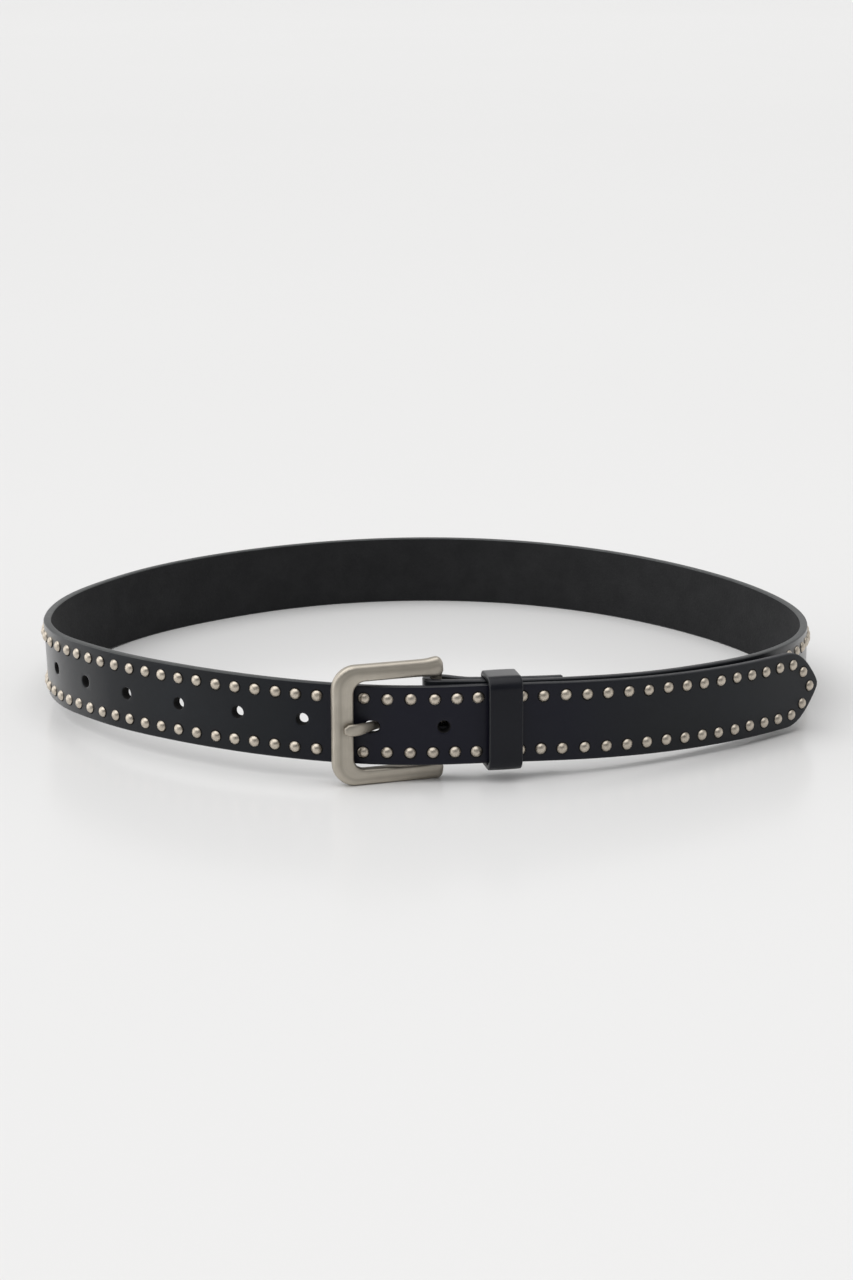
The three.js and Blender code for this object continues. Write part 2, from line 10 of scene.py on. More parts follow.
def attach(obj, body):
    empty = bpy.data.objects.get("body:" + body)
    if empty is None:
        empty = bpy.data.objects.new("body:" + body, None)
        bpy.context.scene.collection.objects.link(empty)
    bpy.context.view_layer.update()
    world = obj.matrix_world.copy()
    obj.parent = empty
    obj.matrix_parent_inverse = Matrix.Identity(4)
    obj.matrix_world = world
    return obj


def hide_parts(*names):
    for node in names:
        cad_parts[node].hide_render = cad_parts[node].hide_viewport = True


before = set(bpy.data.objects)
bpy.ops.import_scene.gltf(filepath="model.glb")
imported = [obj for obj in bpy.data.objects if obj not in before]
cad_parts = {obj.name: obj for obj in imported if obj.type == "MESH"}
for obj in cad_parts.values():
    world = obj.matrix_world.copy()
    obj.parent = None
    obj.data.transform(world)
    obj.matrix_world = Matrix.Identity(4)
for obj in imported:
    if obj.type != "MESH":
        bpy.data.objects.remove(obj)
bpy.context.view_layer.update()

# ---------------------------------------------------------------- dimensions, in millimetres
STRAP_WIDTH, STRAP_THICK, PLY_GAP = 30.0, 3.0, 0.35
STUD_PITCH, STUD_FIRST, STUD_LAST = 8.305, 16.44, 1006.0
STUD_FROM_MIDDLE, STUD_RADIUS, STUD_HEIGHT = 10.15, 2.1, 1.45
TIP_STUDS = [(9.7, 6.35), (5.35, 0.0), (9.7, -6.35)]
HOLE_DIAMETER = 4.0
# punched holes: from the tip, across from the centre line, length, height
HOLES = [
    (169.0, -0.4, HOLE_DIAMETER, HOLE_DIAMETER), (195.9, -0.5, 5.9, 4.5), (221.8, 0.6, HOLE_DIAMETER, HOLE_DIAMETER),
    (247.4, 0.4, HOLE_DIAMETER, HOLE_DIAMETER), (273.8, 0.0, HOLE_DIAMETER, HOLE_DIAMETER),
    (300.6, -0.2, HOLE_DIAMETER, HOLE_DIAMETER), (326.6, -0.1, HOLE_DIAMETER, HOLE_DIAMETER),
    (351.6, 0.4, HOLE_DIAMETER, HOLE_DIAMETER),
]
# how far the hand-set studs stray from even spacing: from the tip, upper row, lower row
STUD_SHIFT = np.array([
    (16.4, -0.4, -0.2), (33, -0.85, -0.65), (49.7, -1.35, -1.2), (66.3, -1.5, -1.4), (74.6, -1.55, -1.6),
    (91.2, -0.9, -1.2), (107.8, -0.1, -0.6), (124.4, 0.6, 0.7), (132.7, 0.7, 0.75), (157.6, -0.75, -0.2),
    (165.9, -1.45, -0.7), (174.2, -1.6, -0.85), (190.8, -0.55, -0.45), (199.1, -0.2, 0), (215.8, 0.9, 0.7),
    (224.1, 0.9, 0.6), (232.4, 0.2, 0.3), (257.3, -0.4, -0.1), (273.9, 0, 0.6), (290.5, -0.2, 0.8),
    (315.4, -0.1, 0.65), (332, -0.3, 0.95), (340.3, -0.8, 0.95), (357, 0, 0),
])
BAR_RADIUS = 2.0
FOLD_RADIUS = BAR_RADIUS + 0.3 + STRAP_THICK / 2
RETURN_LENGTH, RETURN_CLOSE, SLOT_HEIGHT, SLOT_REACH = 47.0, 13.0, 4.2, 4.9
FRAME_HEIGHT, FRAME_THICK, FRONT_BAR, ARM_HEIGHT, ARM_PAST_BAR = 45.6, 4.8, 8.0, 6.2, 2.3
FRAME_CORNER, WINDOW_CORNER = 9.0, 4.5
FRONT_BAR_AT = (-29.7, -148.3)
TO_MIDDLE = (-1.38, 0.1)
PRONG_WIDTH, PRONG_TIP_WIDTH, PRONG_THICK = 3.4, 4.5, 1.9
KEEPER_X, KEEPER_WIDTH, KEEPER_WALL = 29.5, 12.6, 2.0
KEEPER_Z, KEEPER_DEPTH, KEEPER_FRONT_CORNER, KEEPER_REAR_CORNER = (4.5, 40.2), (-5.3, 10.75), 4.5, 3.0
RIVET_RADIUS, RIVET_HEAD_RADIUS, RIVET_HEAD_HEIGHT = 1.5, 2.6, 0.9
RIVETS = {"return_rivet_near_bar": 34.4, "return_rivet_near_end": 42.2}

# middle line of the strap seen from above, tip first: x, y, height of the lower edge, lean of the upper edge outwards
ROUTE = np.array([
    (154.1, -67.2, 2.4, 0), (126.3, -93.5, 2.9, 0), (93.5, -116.3, 4, 0), (57.3, -133.2, 5.8, 0),
    (28.4, -141.2, 7.1, 0), (-3.4, -144.4, 7.1, 0), (-36.1, -141, 7.6, 0), (-69.2, -129.7, 8.3, 0),
    (-96.3, -112.9, 8.2, 0.2), (-117.3, -95.4, 7.9, 0.6), (-132.3, -78, 7.4, 1.1), (-143.1, -61.7, 7, 1.6),
    (-149.4, -45.4, 7.1, 1.4), (-151.8, -27.9, 6, 1.1), (-152.5, -8.7, 4.4, 1.1), (-151.2, 12.3, 2.9, 1.2),
    (-146.8, 35.1, 1.5, 1.4), (-137.8, 59.8, 0.3, 1.7), (-121.5, 86, 0, 1.9), (-95.3, 112.1, 0, 1.6),
    (-58.6, 135.6, 0, 0), (-11.4, 148.7, 0, 0), (37.3, 143.8, 0, 0), (81, 121.6, 0, 0), (116.3, 87.4, 0, 0),
    (142.3, 45.8, 0, 0), (154.1, 8.3, 0.3, 0), (154.8, -26.1, 1.2, 0), (146.4, -56.3, 2.2, 0),
    (124.8, -85.9, 3, 0), (106.2, -102, 3.9, 0), (83.2, -117.2, 4.95, 0), (57.9, -129.1, 6.35, 0),
    (30.5, -137.3, 7.6, 0), (5.3, -140.8, 8.4, 0),
])
TIP = np.array([
    (0, 0.7), (0.35, 1.6), (1.1, 2.9), (2.6, 4.9), (4.3, 6.9), (6.0, 8.8),
    (7.7, 10.4), (9.6, 11.9), (11.6, 13.15), (14.2, 14.25), (17.2, 14.85), (20.5, 15.0),
])
# prong in the buckle's frame: along, inward, half width, height of its middle
PRONG = [
    (0.45, -3.7, 1.45, 22.0),
    (1.05, -3.75, 2.0, 22.0),
    (2.05, -3.85, PRONG_TIP_WIDTH / 2, 22.05),
    (3.55, -3.85, PRONG_TIP_WIDTH / 2, 22.05),
    (5.35, -3.3, 2.2, 21.97),
    (7.25, -2.25, 2.1, 21.9),
    (9.55, -0.65, 1.85, 21.85),
    (11.89, 1.05, 1.75, 21.75),
    (14.45, 2.6, 1.75, 21.7),
    (18.75, 3.1, PRONG_WIDTH / 2, 21.6),
    (25.25, 0.95, PRONG_WIDTH / 2, 22.6),
    (31.25, -1.75, PRONG_WIDTH / 2, 23.35),
]

# ---------------------------------------------------------------- camera of the photograph
CAMERA_AT = (0.00124 + 0.001 * TO_MIDDLE[0], -1.15303 + 0.001 * TO_MIDDLE[1], 0.30756)
CAMERA_DOWN, CAMERA_ROLL = math.radians(14.089), math.radians(-0.156)
FOCAL_PIXELS, IMAGE_WIDTH = 2850.0, 853.0

cam_data = bpy.data.cameras.new("studio_camera")
cam = bpy.data.objects.new("studio_camera", cam_data)
bpy.context.scene.collection.objects.link(cam)
cam_data.sensor_fit = "HORIZONTAL"
cam_data.sensor_width = 36.0
cam_data.lens = 36.0 * FOCAL_PIXELS / IMAGE_WIDTH
cam_data.clip_start, cam_data.clip_end = 0.02, 120.0
cam.matrix_world = (Matrix.Translation(Vector(CAMERA_AT))
                    @ Matrix.Rotation(math.pi / 2 - CAMERA_DOWN, 4, "X")
                    @ Matrix.Rotation(CAMERA_ROLL, 4, "Z"))
bpy.context.scene.camera = cam


# ---------------------------------------------------------------- the strap's route
def natural_bends(at, values):
    n = len(at)
    h = np.diff(at)
    a = np.zeros((n, n))
    b = np.zeros(n)
    a[0, 0] = a[-1, -1] = 1
    for i in range(1, n - 1):
        a[i, i - 1], a[i, i], a[i, i + 1] = h[i - 1], 2 * (h[i - 1] + h[i]), h[i]
        b[i] = 6 * ((values[i + 1] - values[i]) / h[i] - (values[i] - values[i - 1]) / h[i - 1])
    return np.linalg.solve(a, b)


CHORD = np.concatenate([[0], np.cumsum(np.hypot(*np.diff(ROUTE[:, :2], axis=0).T))])
BENDS = [natural_bends(CHORD, ROUTE[:, k]) for k in range(4)]


def route_value(u, k):
    u = np.asarray(u, float)
    i = np.clip(np.searchsorted(CHORD, u, side="left") - 1, 0, len(CHORD) - 2)
    h = CHORD[i + 1] - CHORD[i]
    a, b = (CHORD[i + 1] - u) / h, (u - CHORD[i]) / h
    m, v = BENDS[k], ROUTE[:, k]
    return a * v[i] + b * v[i + 1] + ((a ** 3 - a) * m[i] + (b ** 3 - b) * m[i + 1]) * h * h / 6


_u = np.linspace(0, CHORD[-1], 4001)
_run = np.concatenate([[0], np.cumsum(np.hypot(np.diff(route_value(_u, 0)), np.diff(route_value(_u, 1))))])
LOOP_LENGTH = float(_run[-1])
FOLD_LENGTH = math.pi * FOLD_RADIUS
STRAP_LENGTH = LOOP_LENGTH + FOLD_LENGTH + RETURN_LENGTH


def loop_place(s):
    """x, y, lift, rise, direction, outward side and lean, as columns."""
    u = np.interp(s, _run, _u)
    lo, hi = np.maximum(0, u - 0.5), np.minimum(CHORD[-1], u + 0.5)
    tx, ty = (route_value(hi, k) - route_value(lo, k) for k in (0, 1))
    length = np.hypot(tx, ty)
    lift = np.maximum(0, route_value(u, 2))
    rise = (np.maximum(0, route_value(hi, 2)) - np.maximum(0, route_value(lo, 2))) / length
    ax, ay = tx / length, ty / length
    return np.stack([route_value(u, 0), route_value(u, 1), lift, rise, ax, ay, -ay, ax, route_value(u, 3)], -1)


FOLD_START = loop_place(np.array([LOOP_LENGTH]))[0]
BAR = FOLD_START[:2] - FOLD_START[6:8] * FOLD_RADIUS


def smooth(f):
    g = np.clip(f, 0, 1)
    return g * g * (3 - 2 * g)


def return_line(b):
    p = loop_place(LOOP_LENGTH - b)
    close = STRAP_THICK + PLY_GAP
    away = close + (2 * FOLD_RADIUS - close) * (1 - smooth(b / RETURN_CLOSE))
    q = p.copy()
    q[:, 0] -= p[:, 6] * away
    q[:, 1] -= p[:, 7] * away
    q[:, 3] = -p[:, 3]
    q[:, 8] = 0
    return q


def place(s):
    s = np.atleast_1d(np.asarray(s, float))
    out = loop_place(np.minimum(s, LOOP_LENGTH))
    fold = (s > LOOP_LENGTH) & (s <= LOOP_LENGTH + FOLD_LENGTH)
    if fold.any():
        turn = -(s[fold] - LOOP_LENGTH) / FOLD_RADIUS
        c, k = np.cos(turn), np.sin(turn)
        ax, ay, ox, oy = FOLD_START[4:8]
        o = np.stack([c * ox - k * oy, k * ox + c * oy], -1)
        out[fold] = np.stack([
            BAR[0] + o[:, 0] * FOLD_RADIUS, BAR[1] + o[:, 1] * FOLD_RADIUS,
            np.full(fold.sum(), FOLD_START[2]), np.zeros(fold.sum()),
            c * ax - k * ay, k * ax + c * ay, o[:, 0], o[:, 1], np.zeros(fold.sum())], -1)
    back = s > LOOP_LENGTH + FOLD_LENGTH
    if back.any():
        b = s[back] - LOOP_LENGTH - FOLD_LENGTH
        p, a, c = return_line(b), return_line(np.maximum(0, b - 0.3)), return_line(b + 0.3)
        tx, ty = c[:, 0] - a[:, 0], c[:, 1] - a[:, 1]
        length = np.hypot(tx, ty)
        p[:, 4], p[:, 5], p[:, 6], p[:, 7] = tx / length, ty / length, -ty / length, tx / length
        out[back] = p
    return out


def on_strap(s, t, o):
    """Points of the strap: s along it, t up across it, o out from its middle line."""
    s, t, o = np.broadcast_arrays(np.asarray(s, float), np.asarray(t, float), np.asarray(o, float))
    p = place(s.ravel())
    t, o = t.ravel(), o.ravel()
    o = o + p[:, 8] * (t / STRAP_WIDTH - 0.5)
    k = 1 / np.hypot(1, p[:, 3])
    shift = p[:, 3] * k * t
    return np.stack([p[:, 0] + p[:, 6] * o - p[:, 4] * shift,
                     p[:, 1] + p[:, 7] * o - p[:, 5] * shift,
                     p[:, 2] + k * t], -1)


def half_width(s):
    """Half width of the strap, a smooth line through the tip's table."""
    x, y = TIP[:, 0], TIP[:, 1]
    d = np.diff(y) / np.diff(x)
    m = np.concatenate([[d[0]], 2 * d[:-1] * d[1:] / (d[:-1] + d[1:]), [0]])
    s = np.clip(s, 0, x[-1])
    i = np.clip(np.searchsorted(x, s, side="right") - 1, 0, len(x) - 2)
    h = x[i + 1] - x[i]
    f = (s - x[i]) / h
    return ((2 * f ** 3 - 3 * f ** 2 + 1) * y[i] + (f ** 3 - 2 * f ** 2 + f) * h * m[i]
            + (3 * f ** 2 - 2 * f ** 3) * y[i + 1] + (f ** 3 - f ** 2) * h * m[i + 1])


# ---------------------------------------------------------------- meshes
def add_mesh(name, points, faces, materials, slots=None, attributes=None, sharp_angle=None):
    """A mesh object from points in millimetres, before the shift to the middle."""
    points = np.asarray(points, float)
    shifted = points.copy()
    shifted[:, 0] += TO_MIDDLE[0]
    shifted[:, 1] += TO_MIDDLE[1]
    mesh = bpy.data.meshes.new(name)
    mesh.from_pydata((shifted * 0.001).tolist(), [], [list(map(int, f)) for f in faces])
    for m in materials:
        mesh.materials.append(m)
    if slots is not None:
        mesh.polygons.foreach_set("material_index", np.asarray(slots, np.int32))
    for key, values in (attributes or {}).items():
        layer = mesh.attributes.new(key, "FLOAT", "POINT")
        layer.data.foreach_set("value", np.asarray(values, np.float32))
    bm = bmesh.new()
    bm.from_mesh(mesh)
    bmesh.ops.recalc_face_normals(bm, faces=bm.faces)
    bm.to_mesh(mesh)
    bm.free()
    mesh.polygons.foreach_set("use_smooth", np.ones(len(mesh.polygons), bool))
    if sharp_angle is not None:
        mesh.set_sharp_from_angle(angle=math.radians(sharp_angle))
    mesh.update()
    obj = bpy.data.objects.new(name, mesh)
    bpy.context.scene.collection.objects.link(obj)
    return obj


def build_strap(materials):
    columns = 24
    tip = [0, 0.15, 0.4, 0.8, 1.3, 1.9, 2.6, 3.4, 4.3, 5.3, 6.4, 7.5, 8.7, 9.9, 11.1, 12.3, 13.5, 14.7, 15.9, 17.1, 18.3, 19.5, 20.7]
    fold_end = LOOP_LENGTH + FOLD_LENGTH
    # start, end, cells, half straight length, radius of the opening, its offset across, its offset along, its taper
    patches = []
    for along, across, length, height in HOLES:
        round_one = length == height
        patches.append((along - 3.8, along + 3.8, 6, (length - height) / 2, height / 2, across,
                        0.3 if round_one else 0.0, 0.3 if round_one else 0.0))
    for along in sorted(RIVETS.values(), reverse=True):
        patches.append((LOOP_LENGTH - along - 3.3, LOOP_LENGTH - along + 3.3, 6, 0, RIVET_RADIUS + 0.12, 0, 0, 0))
    reach = SLOT_REACH + 1.4
    patches.append((LOOP_LENGTH - reach, fold_end + reach, 24,
                    (FOLD_LENGTH + 2 * SLOT_REACH) / 2 - SLOT_HEIGHT / 2, SLOT_HEIGHT / 2, 0, 0, 0))
    for along in sorted(RIVETS.values()):
        patches.append((fold_end + along - 3.3, fold_end + along + 3.3, 6, 0, RIVET_RADIUS + 0.12, 0, 0, 0))
    s, opened = list(tip), []
    for start, end, cells, straight, radius, across, moved, taper in patches:
        n = max(1, round((start - s[-1]) / 1.26))
        s += [s[-1] + (start - s[-1]) * (k + 1) / n for k in range(n)]
        opened.append((len(s) - 1, len(s) - 1 + cells, straight, radius, (start + end) / 2 + moved, across, taper))
        s += [start + (end - start) * (k + 1) / cells for k in range(cells)]
    n = max(1, round((STRAP_LENGTH - s[-1]) / 1.1))
    s += [s[-1] + (STRAP_LENGTH - s[-1]) * (k + 1) / n for k in range(n)]
    s = np.array(s)
    rows = len(s)
    half = half_width(s)
    slope = (half_width(s + 0.05) - half_width(np.maximum(0, s - 0.05))) / (s + 0.05 - np.maximum(0, s - 0.05))
    slope[s > TIP[-1, 0]] = 0
    ns, nt = -slope / np.hypot(1, slope), 1 / np.hypot(1, slope)
    ns[0], nt[0] = -0.8, 0.6
    ns[-1], nt[-1] = 0.7071, 0.7071
    h, m = STRAP_THICK / 2, STRAP_WIDTH / 2
    # edge section, from the outer face round to the inner one: in from the outline, out from the middle
    edge = [(0.66, h), (0.44, h - 0.02), (0.26, h - 0.09), (0.12, h - 0.24), (0.035, h - 0.47), (0.0, h - 0.85),
            (0.0, 0.0), (0.0, -h + 0.85), (0.035, -h + 0.47), (0.12, -h + 0.24), (0.26, -h + 0.09), (0.44, -h + 0.02), (0.66, -h)]
    par = []          # s, t, o of every point

    def point(a, b, c):
        par.append((a, b, c))
        return len(par) - 1

    share = np.arange(columns + 1) / (columns / 2) - 1
    # outline stations: (row, column, s, t, normal s, normal t)
    outline = [(i, columns, s[i], m + half[i], ns[i], nt[i]) for i in range(rows)]
    outline += [(rows - 1, j, s[-1], m + half[-1] * share[j], 1.0, 0.0) for j in range(columns - 1, 0, -1)]
    outline += [(i, 0, s[i], m - half[i], ns[i], -nt[i]) for i in range(rows - 1, -1, -1)]
    turn = math.asin(0.6)
    outline += [(0, j, s[0], m + half[0] * share[j], -math.cos(turn * share[j]), math.sin(turn * share[j])) for j in range(1, columns)]
    grid = {1: -np.ones((rows, columns + 1), int), -1: -np.ones((rows, columns + 1), int)}
    band = []
    for (i, j, a, b, na, nb) in outline:
        ring = [point(a - na * d, b - nb * d, o) for d, o in edge]
        band.append(ring)
        grid[1][i, j], grid[-1][i, j] = ring[0], ring[-1]
    hidden = np.zeros((rows - 1, columns), bool)
    inside = np.zeros((rows, columns + 1), bool)
    c0, c1 = columns // 2 - 3, columns // 2 + 3
    for first, last, *_ in opened:
        hidden[first:last, c0:c1] = True
        inside[first + 1:last, c0 + 1:c1] = True
    for side in (1, -1):
        d = edge[0][0]
        for i in range(rows):
            for j in range(columns + 1):
                if grid[side][i, j] < 0 and not inside[i, j]:
                    a = s[i] - ns[i] * d if i < rows - 1 else s[i] - d
                    grid[side][i, j] = point(a, m + (half[i] - nt[i] * d) * share[j], side * h)
    faces, slots = [], []
    for side, slot in ((1, 0), (-1, 2)):
        g = grid[side]
        for i in range(rows - 1):
            for j in range(columns):
                if not hidden[i, j]:
                    faces.append((g[i, j], g[i + 1, j], g[i + 1, j + 1], g[i, j + 1]))
                    slots.append(slot)
    for k in range(len(band)):
        a, b = band[k], band[(k + 1) % len(band)]
        for r in range(len(edge) - 1):
            faces.append((a[r], b[r], b[r + 1], a[r + 1]))
            slots.append(0 if r == 0 else (2 if r == len(edge) - 2 else 1))
    # openings: rings from the patch's border over a rounded rim and down the cut wall
    for first, last, straight, radius, centre, across, taper in opened:
        border = [(i, c0) for i in range(first, last)] + [(last, j) for j in range(c0, c1)]
        border += [(i, c1) for i in range(last, first, -1)] + [(first, j) for j in range(c1, c0, -1)]
        rim = [(0.55, h), (0.26, h - 0.035), (0.09, h - 0.14), (0.0, h - 0.36), (0.0, 0.0),
               (0.0, -h + 0.25), (0.06, -h + 0.07), (0.3, -h)]
        rings = []
        for wider, o in rim:
            wider += taper * (o + h * 0.3) / h
            ring = []
            for i, j in border:
                ds, dt = s[i] - centre, (half[i] - edge[0][0]) * share[j] - across
                if abs(ds) <= straight:
                    ring.append(point(s[i], m + across + math.copysign(radius + wider, dt), o))
                else:
                    cs = math.copysign(straight, ds)
                    v = math.hypot(ds - cs, dt)
                    ring.append(point(centre + cs + (ds - cs) / v * (radius + wider), m + across + dt / v * (radius + wider), o))
            rings.append(ring)
        chain = [[grid[1][i, j] for i, j in border], *rings, [grid[-1][i, j] for i, j in border]]
        for r in range(len(chain) - 1):
            a, b = chain[r], chain[r + 1]
            for k in range(len(a)):
                q = (k + 1) % len(a)
                faces.append((a[k], a[q], b[q], b[k]))
                slots.append(0 if r <= 2 else (2 if r >= len(chain) - 3 else 3))
    par = np.array(par)
    # the leather is a little soft: a shallow, slow unevenness of its faces
    soft = 0.05 * np.sin(par[:, 0] / 23.0) * np.cos(par[:, 1] / 9.0 + par[:, 0] / 61.0)
    points = on_strap(par[:, 0], par[:, 1], par[:, 2] + np.where(np.abs(par[:, 2]) > 1.3, soft * 0.6, 0))
    return add_mesh("strap_leather_body", points, faces, materials, slots,
                    {"along": par[:, 0], "across": par[:, 1]}, sharp_angle=40)


# ---------------------------------------------------------------- studs
def stud_profile(height, radius):
    """Radius and height from under the seat to the top of the dome."""
    rows = [(0.0, -0.35), (0.8 * radius, -0.35), (0.93 * radius, -0.12), (0.985 * radius, 0.03), (radius, 0.16)]
    cap = height - 0.16
    big = (radius ** 2 + cap ** 2) / (2 * cap)
    edge_angle = math.asin(min(1, radius / big))
    for k in range(1, 9):
        a = edge_angle * (1 - k / 8)
        rows.append((big * math.sin(a), height - big + big * math.cos(a)))
    return rows


def build_studs(name, studs, materials, rng):
    """Domed heads, each with a thin dark collar round its foot: painted contact shadow on the leather, with some dirt.
    """
    points, faces, tone, rim, slots = [], [], [], [], []
    sides = 28
    # a thin dark collar round each dome: painted contact shadow, with some dirt, where dome meets leather
    seat = [(STUD_RADIUS - 0.25, 0.06), (STUD_RADIUS + 0.02, 0.1), (STUD_RADIUS + 0.2, 0.075), (STUD_RADIUS + 0.36, 0.0), (STUD_RADIUS + 0.36, -0.2)]
    for along, across in studs:
        along += rng.uniform(-0.1, 0.1)
        across += rng.uniform(-0.16, 0.16)
        height = STUD_HEIGHT * rng.uniform(0.96, 1.03)
        radius = STUD_RADIUS * rng.uniform(0.98, 1.015)
        p = place(along)[0]
        k = 1 / math.hypot(1, p[3])
        e1 = np.array([p[4] * k, p[5] * k, p[3] * k])
        e3 = np.array([p[6], p[7], 0.0])
        e2 = np.cross(e3, e1)
        lean1, lean2 = rng.uniform(-0.04, 0.04), rng.uniform(-0.04, 0.04) - p[8] / STRAP_WIDTH
        n = e3 + lean1 * e1 + lean2 * e2
        n /= np.linalg.norm(n)
        u = e1 - n * (e1 @ n)
        u /= np.linalg.norm(u)
        v = np.cross(n, u)
        at = on_strap(along, STRAP_WIDTH / 2 + across, STRAP_THICK / 2 - 0.03)[0]
        mark = rng.random()

        def turned(rows, slot, shade):
            """A closed solid of revolution: first and last rows on the axis."""
            base = len(points)
            for i, (r, q) in enumerate(rows):
                for c in range(1 if i in (0, len(rows) - 1) else sides):
                    a = 2 * math.pi * c / sides
                    points.append(at + u * (r * math.cos(a)) + v * (r * math.sin(a)) + n * q)
                    tone.append(mark)
                    rim.append(shade(q))
            count = len(rows) - 2
            for i in range(sides):
                j = (i + 1) % sides
                faces.append((base, base + 1 + j, base + 1 + i))
                slots.append(slot)
                for r in range(count - 1):
                    a, b = base + 1 + r * sides, base + 1 + (r + 1) * sides
                    faces.append((a + i, a + j, b + j, b + i))
                    slots.append(slot)
                last = base + 1 + (count - 1) * sides
                faces.append((last + i, last + j, len(points) - 1))
                slots.append(slot)

        head = [(r * radius / STUD_RADIUS, q) for r, q in stud_profile(height, STUD_RADIUS)]
        # rim is 1 at the dome's foot and falls towards its top; the material darkens the foot with patina and painted
        # contact shade
        turned(head, 0, lambda q: 1.0 if q <= 0.03 else 1 - q / height)
        turned([(0.0, 0.05)] + seat + [(0.0, -0.2)], 1, lambda q: 1.0)
    return add_mesh(name, points, faces, materials, slots, {"tone": tone, "rim": rim}, sharp_angle=60)


# ---------------------------------------------------------------- buckle
PRONG_TIP = PRONG[2]
BUCKLE_LENGTH = math.hypot(BAR[0] - FRONT_BAR_AT[0], BAR[1] - FRONT_BAR_AT[1])
BUCKLE_TURN = math.atan2(BAR[1] - FRONT_BAR_AT[1], BAR[0] - FRONT_BAR_AT[0])


def from_buckle(local):
    """Points along, inward, up of the buckle's own frame, into the belt's."""
    local = np.asarray(local, float)
    c, k = math.cos(BUCKLE_TURN), math.sin(BUCKLE_TURN)
    return np.stack([FRONT_BAR_AT[0] + local[:, 0] * c - local[:, 1] * k,
                     FRONT_BAR_AT[1] + local[:, 0] * k + local[:, 1] * c, local[:, 2]], -1)


def frame_stations():
    """Outer point, inner point, thickness share and closing share of the cast frame's U, lower arm end first."""
    left, inner = -FRONT_BAR / 2, FRONT_BAR / 2
    right = BUCKLE_LENGTH + ARM_PAST_BAR
    R, r, H, A = FRAME_CORNER, WINDOW_CORNER, FRAME_HEIGHT, ARM_HEIGHT
    nose = 2.6
    lower = []
    # the arm's rounded end
    for k in range(1, 11):
        a = math.pi / 2 * (k / 10) ** 1.3
        lower.append((right - nose * (1 - math.cos(a)), math.sin(a) ** 0.7))
    half = []
    for a, share in lower:
        eye = 0.45 * math.exp(-((a - BUCKLE_LENGTH) / 4.2) ** 2)
        z0, z1 = 0.0, A + eye
        mid, h = (z0 + z1) / 2, (z1 - z0) / 2
        half.append(((a, mid - h * share), (a, mid + h * share), max(0.12, share)))
    start_o, start_i = right - nose, right - nose
    n = 22
    for k in range(1, n + 1):
        f = k / n
        ao = start_o + (left + R - start_o) * f
        ai = start_i + (inner + r - start_i) * f
        eye = 0.45 * math.exp(-((ai - BUCKLE_LENGTH) / 4.2) ** 2)
        half.append(((ao, 0.0), (ai, A + eye), 1.0))
    for k in range(1, 13):
        a = -math.pi / 2 - math.pi / 2 * k / 12
        half.append(((left + R + R * math.cos(a), R + R * math.sin(a)),
                     (inner + r + r * math.cos(a), A + r + r * math.sin(a)), 1.0))
    zo, zi = R, A + r
    n = 14
    for k in range(1, n + 1):
        f = k / n
        half.append(((left, zo + (H / 2 - zo) * f), (inner, zi + (H / 2 - zi) * f), 1.0))
    mirrored = []
    for (o, i, share) in half[-2::-1]:
        eye = 0.75 * math.exp(-((o[0] - BUCKLE_LENGTH - 0.8) / 3.4) ** 2)
        grow = eye * min(1.0, share)
        mirrored.append(((o[0], H - o[1] + grow), (i[0], H - i[1]), share))
    return half + mirrored


def frame_section(width):
    """Section of the cast bar: across from its outer side, inward. The face to the front has a broad rounded
    shoulder outside, runs softly into a nearly flat land and ends in a narrow rounded inner lip."""
    T = FRAME_THICK / 2
    land = width - 3.2
    return [
        (0.0, -0.3), (0.07, -0.82), (0.28, -1.3), (0.65, -1.67), (1.15, -1.93), (1.7, -2.08), (2.2, -2.16),
        (2.7, -2.22), (3.2, -2.29), (3.7, -2.36), (3.1 + land * 0.4, -T), (3.1 + land * 0.58, -T), (width - 1.1, -T + 0.03),
        (width - 0.72, -T + 0.15), (width - 0.38, -T + 0.42), (width - 0.13, -T + 0.9), (width, -0.75),
        (width, 0.55), (width - 0.1, 1.25), (width - 0.38, 1.85), (width - 0.85, T - 0.1), (width - 1.5, T),
        (width * 0.5, T), (1.5, T), (0.85, T - 0.1), (0.38, 1.85), (0.1, 1.25), (0.0, 0.5),
    ]


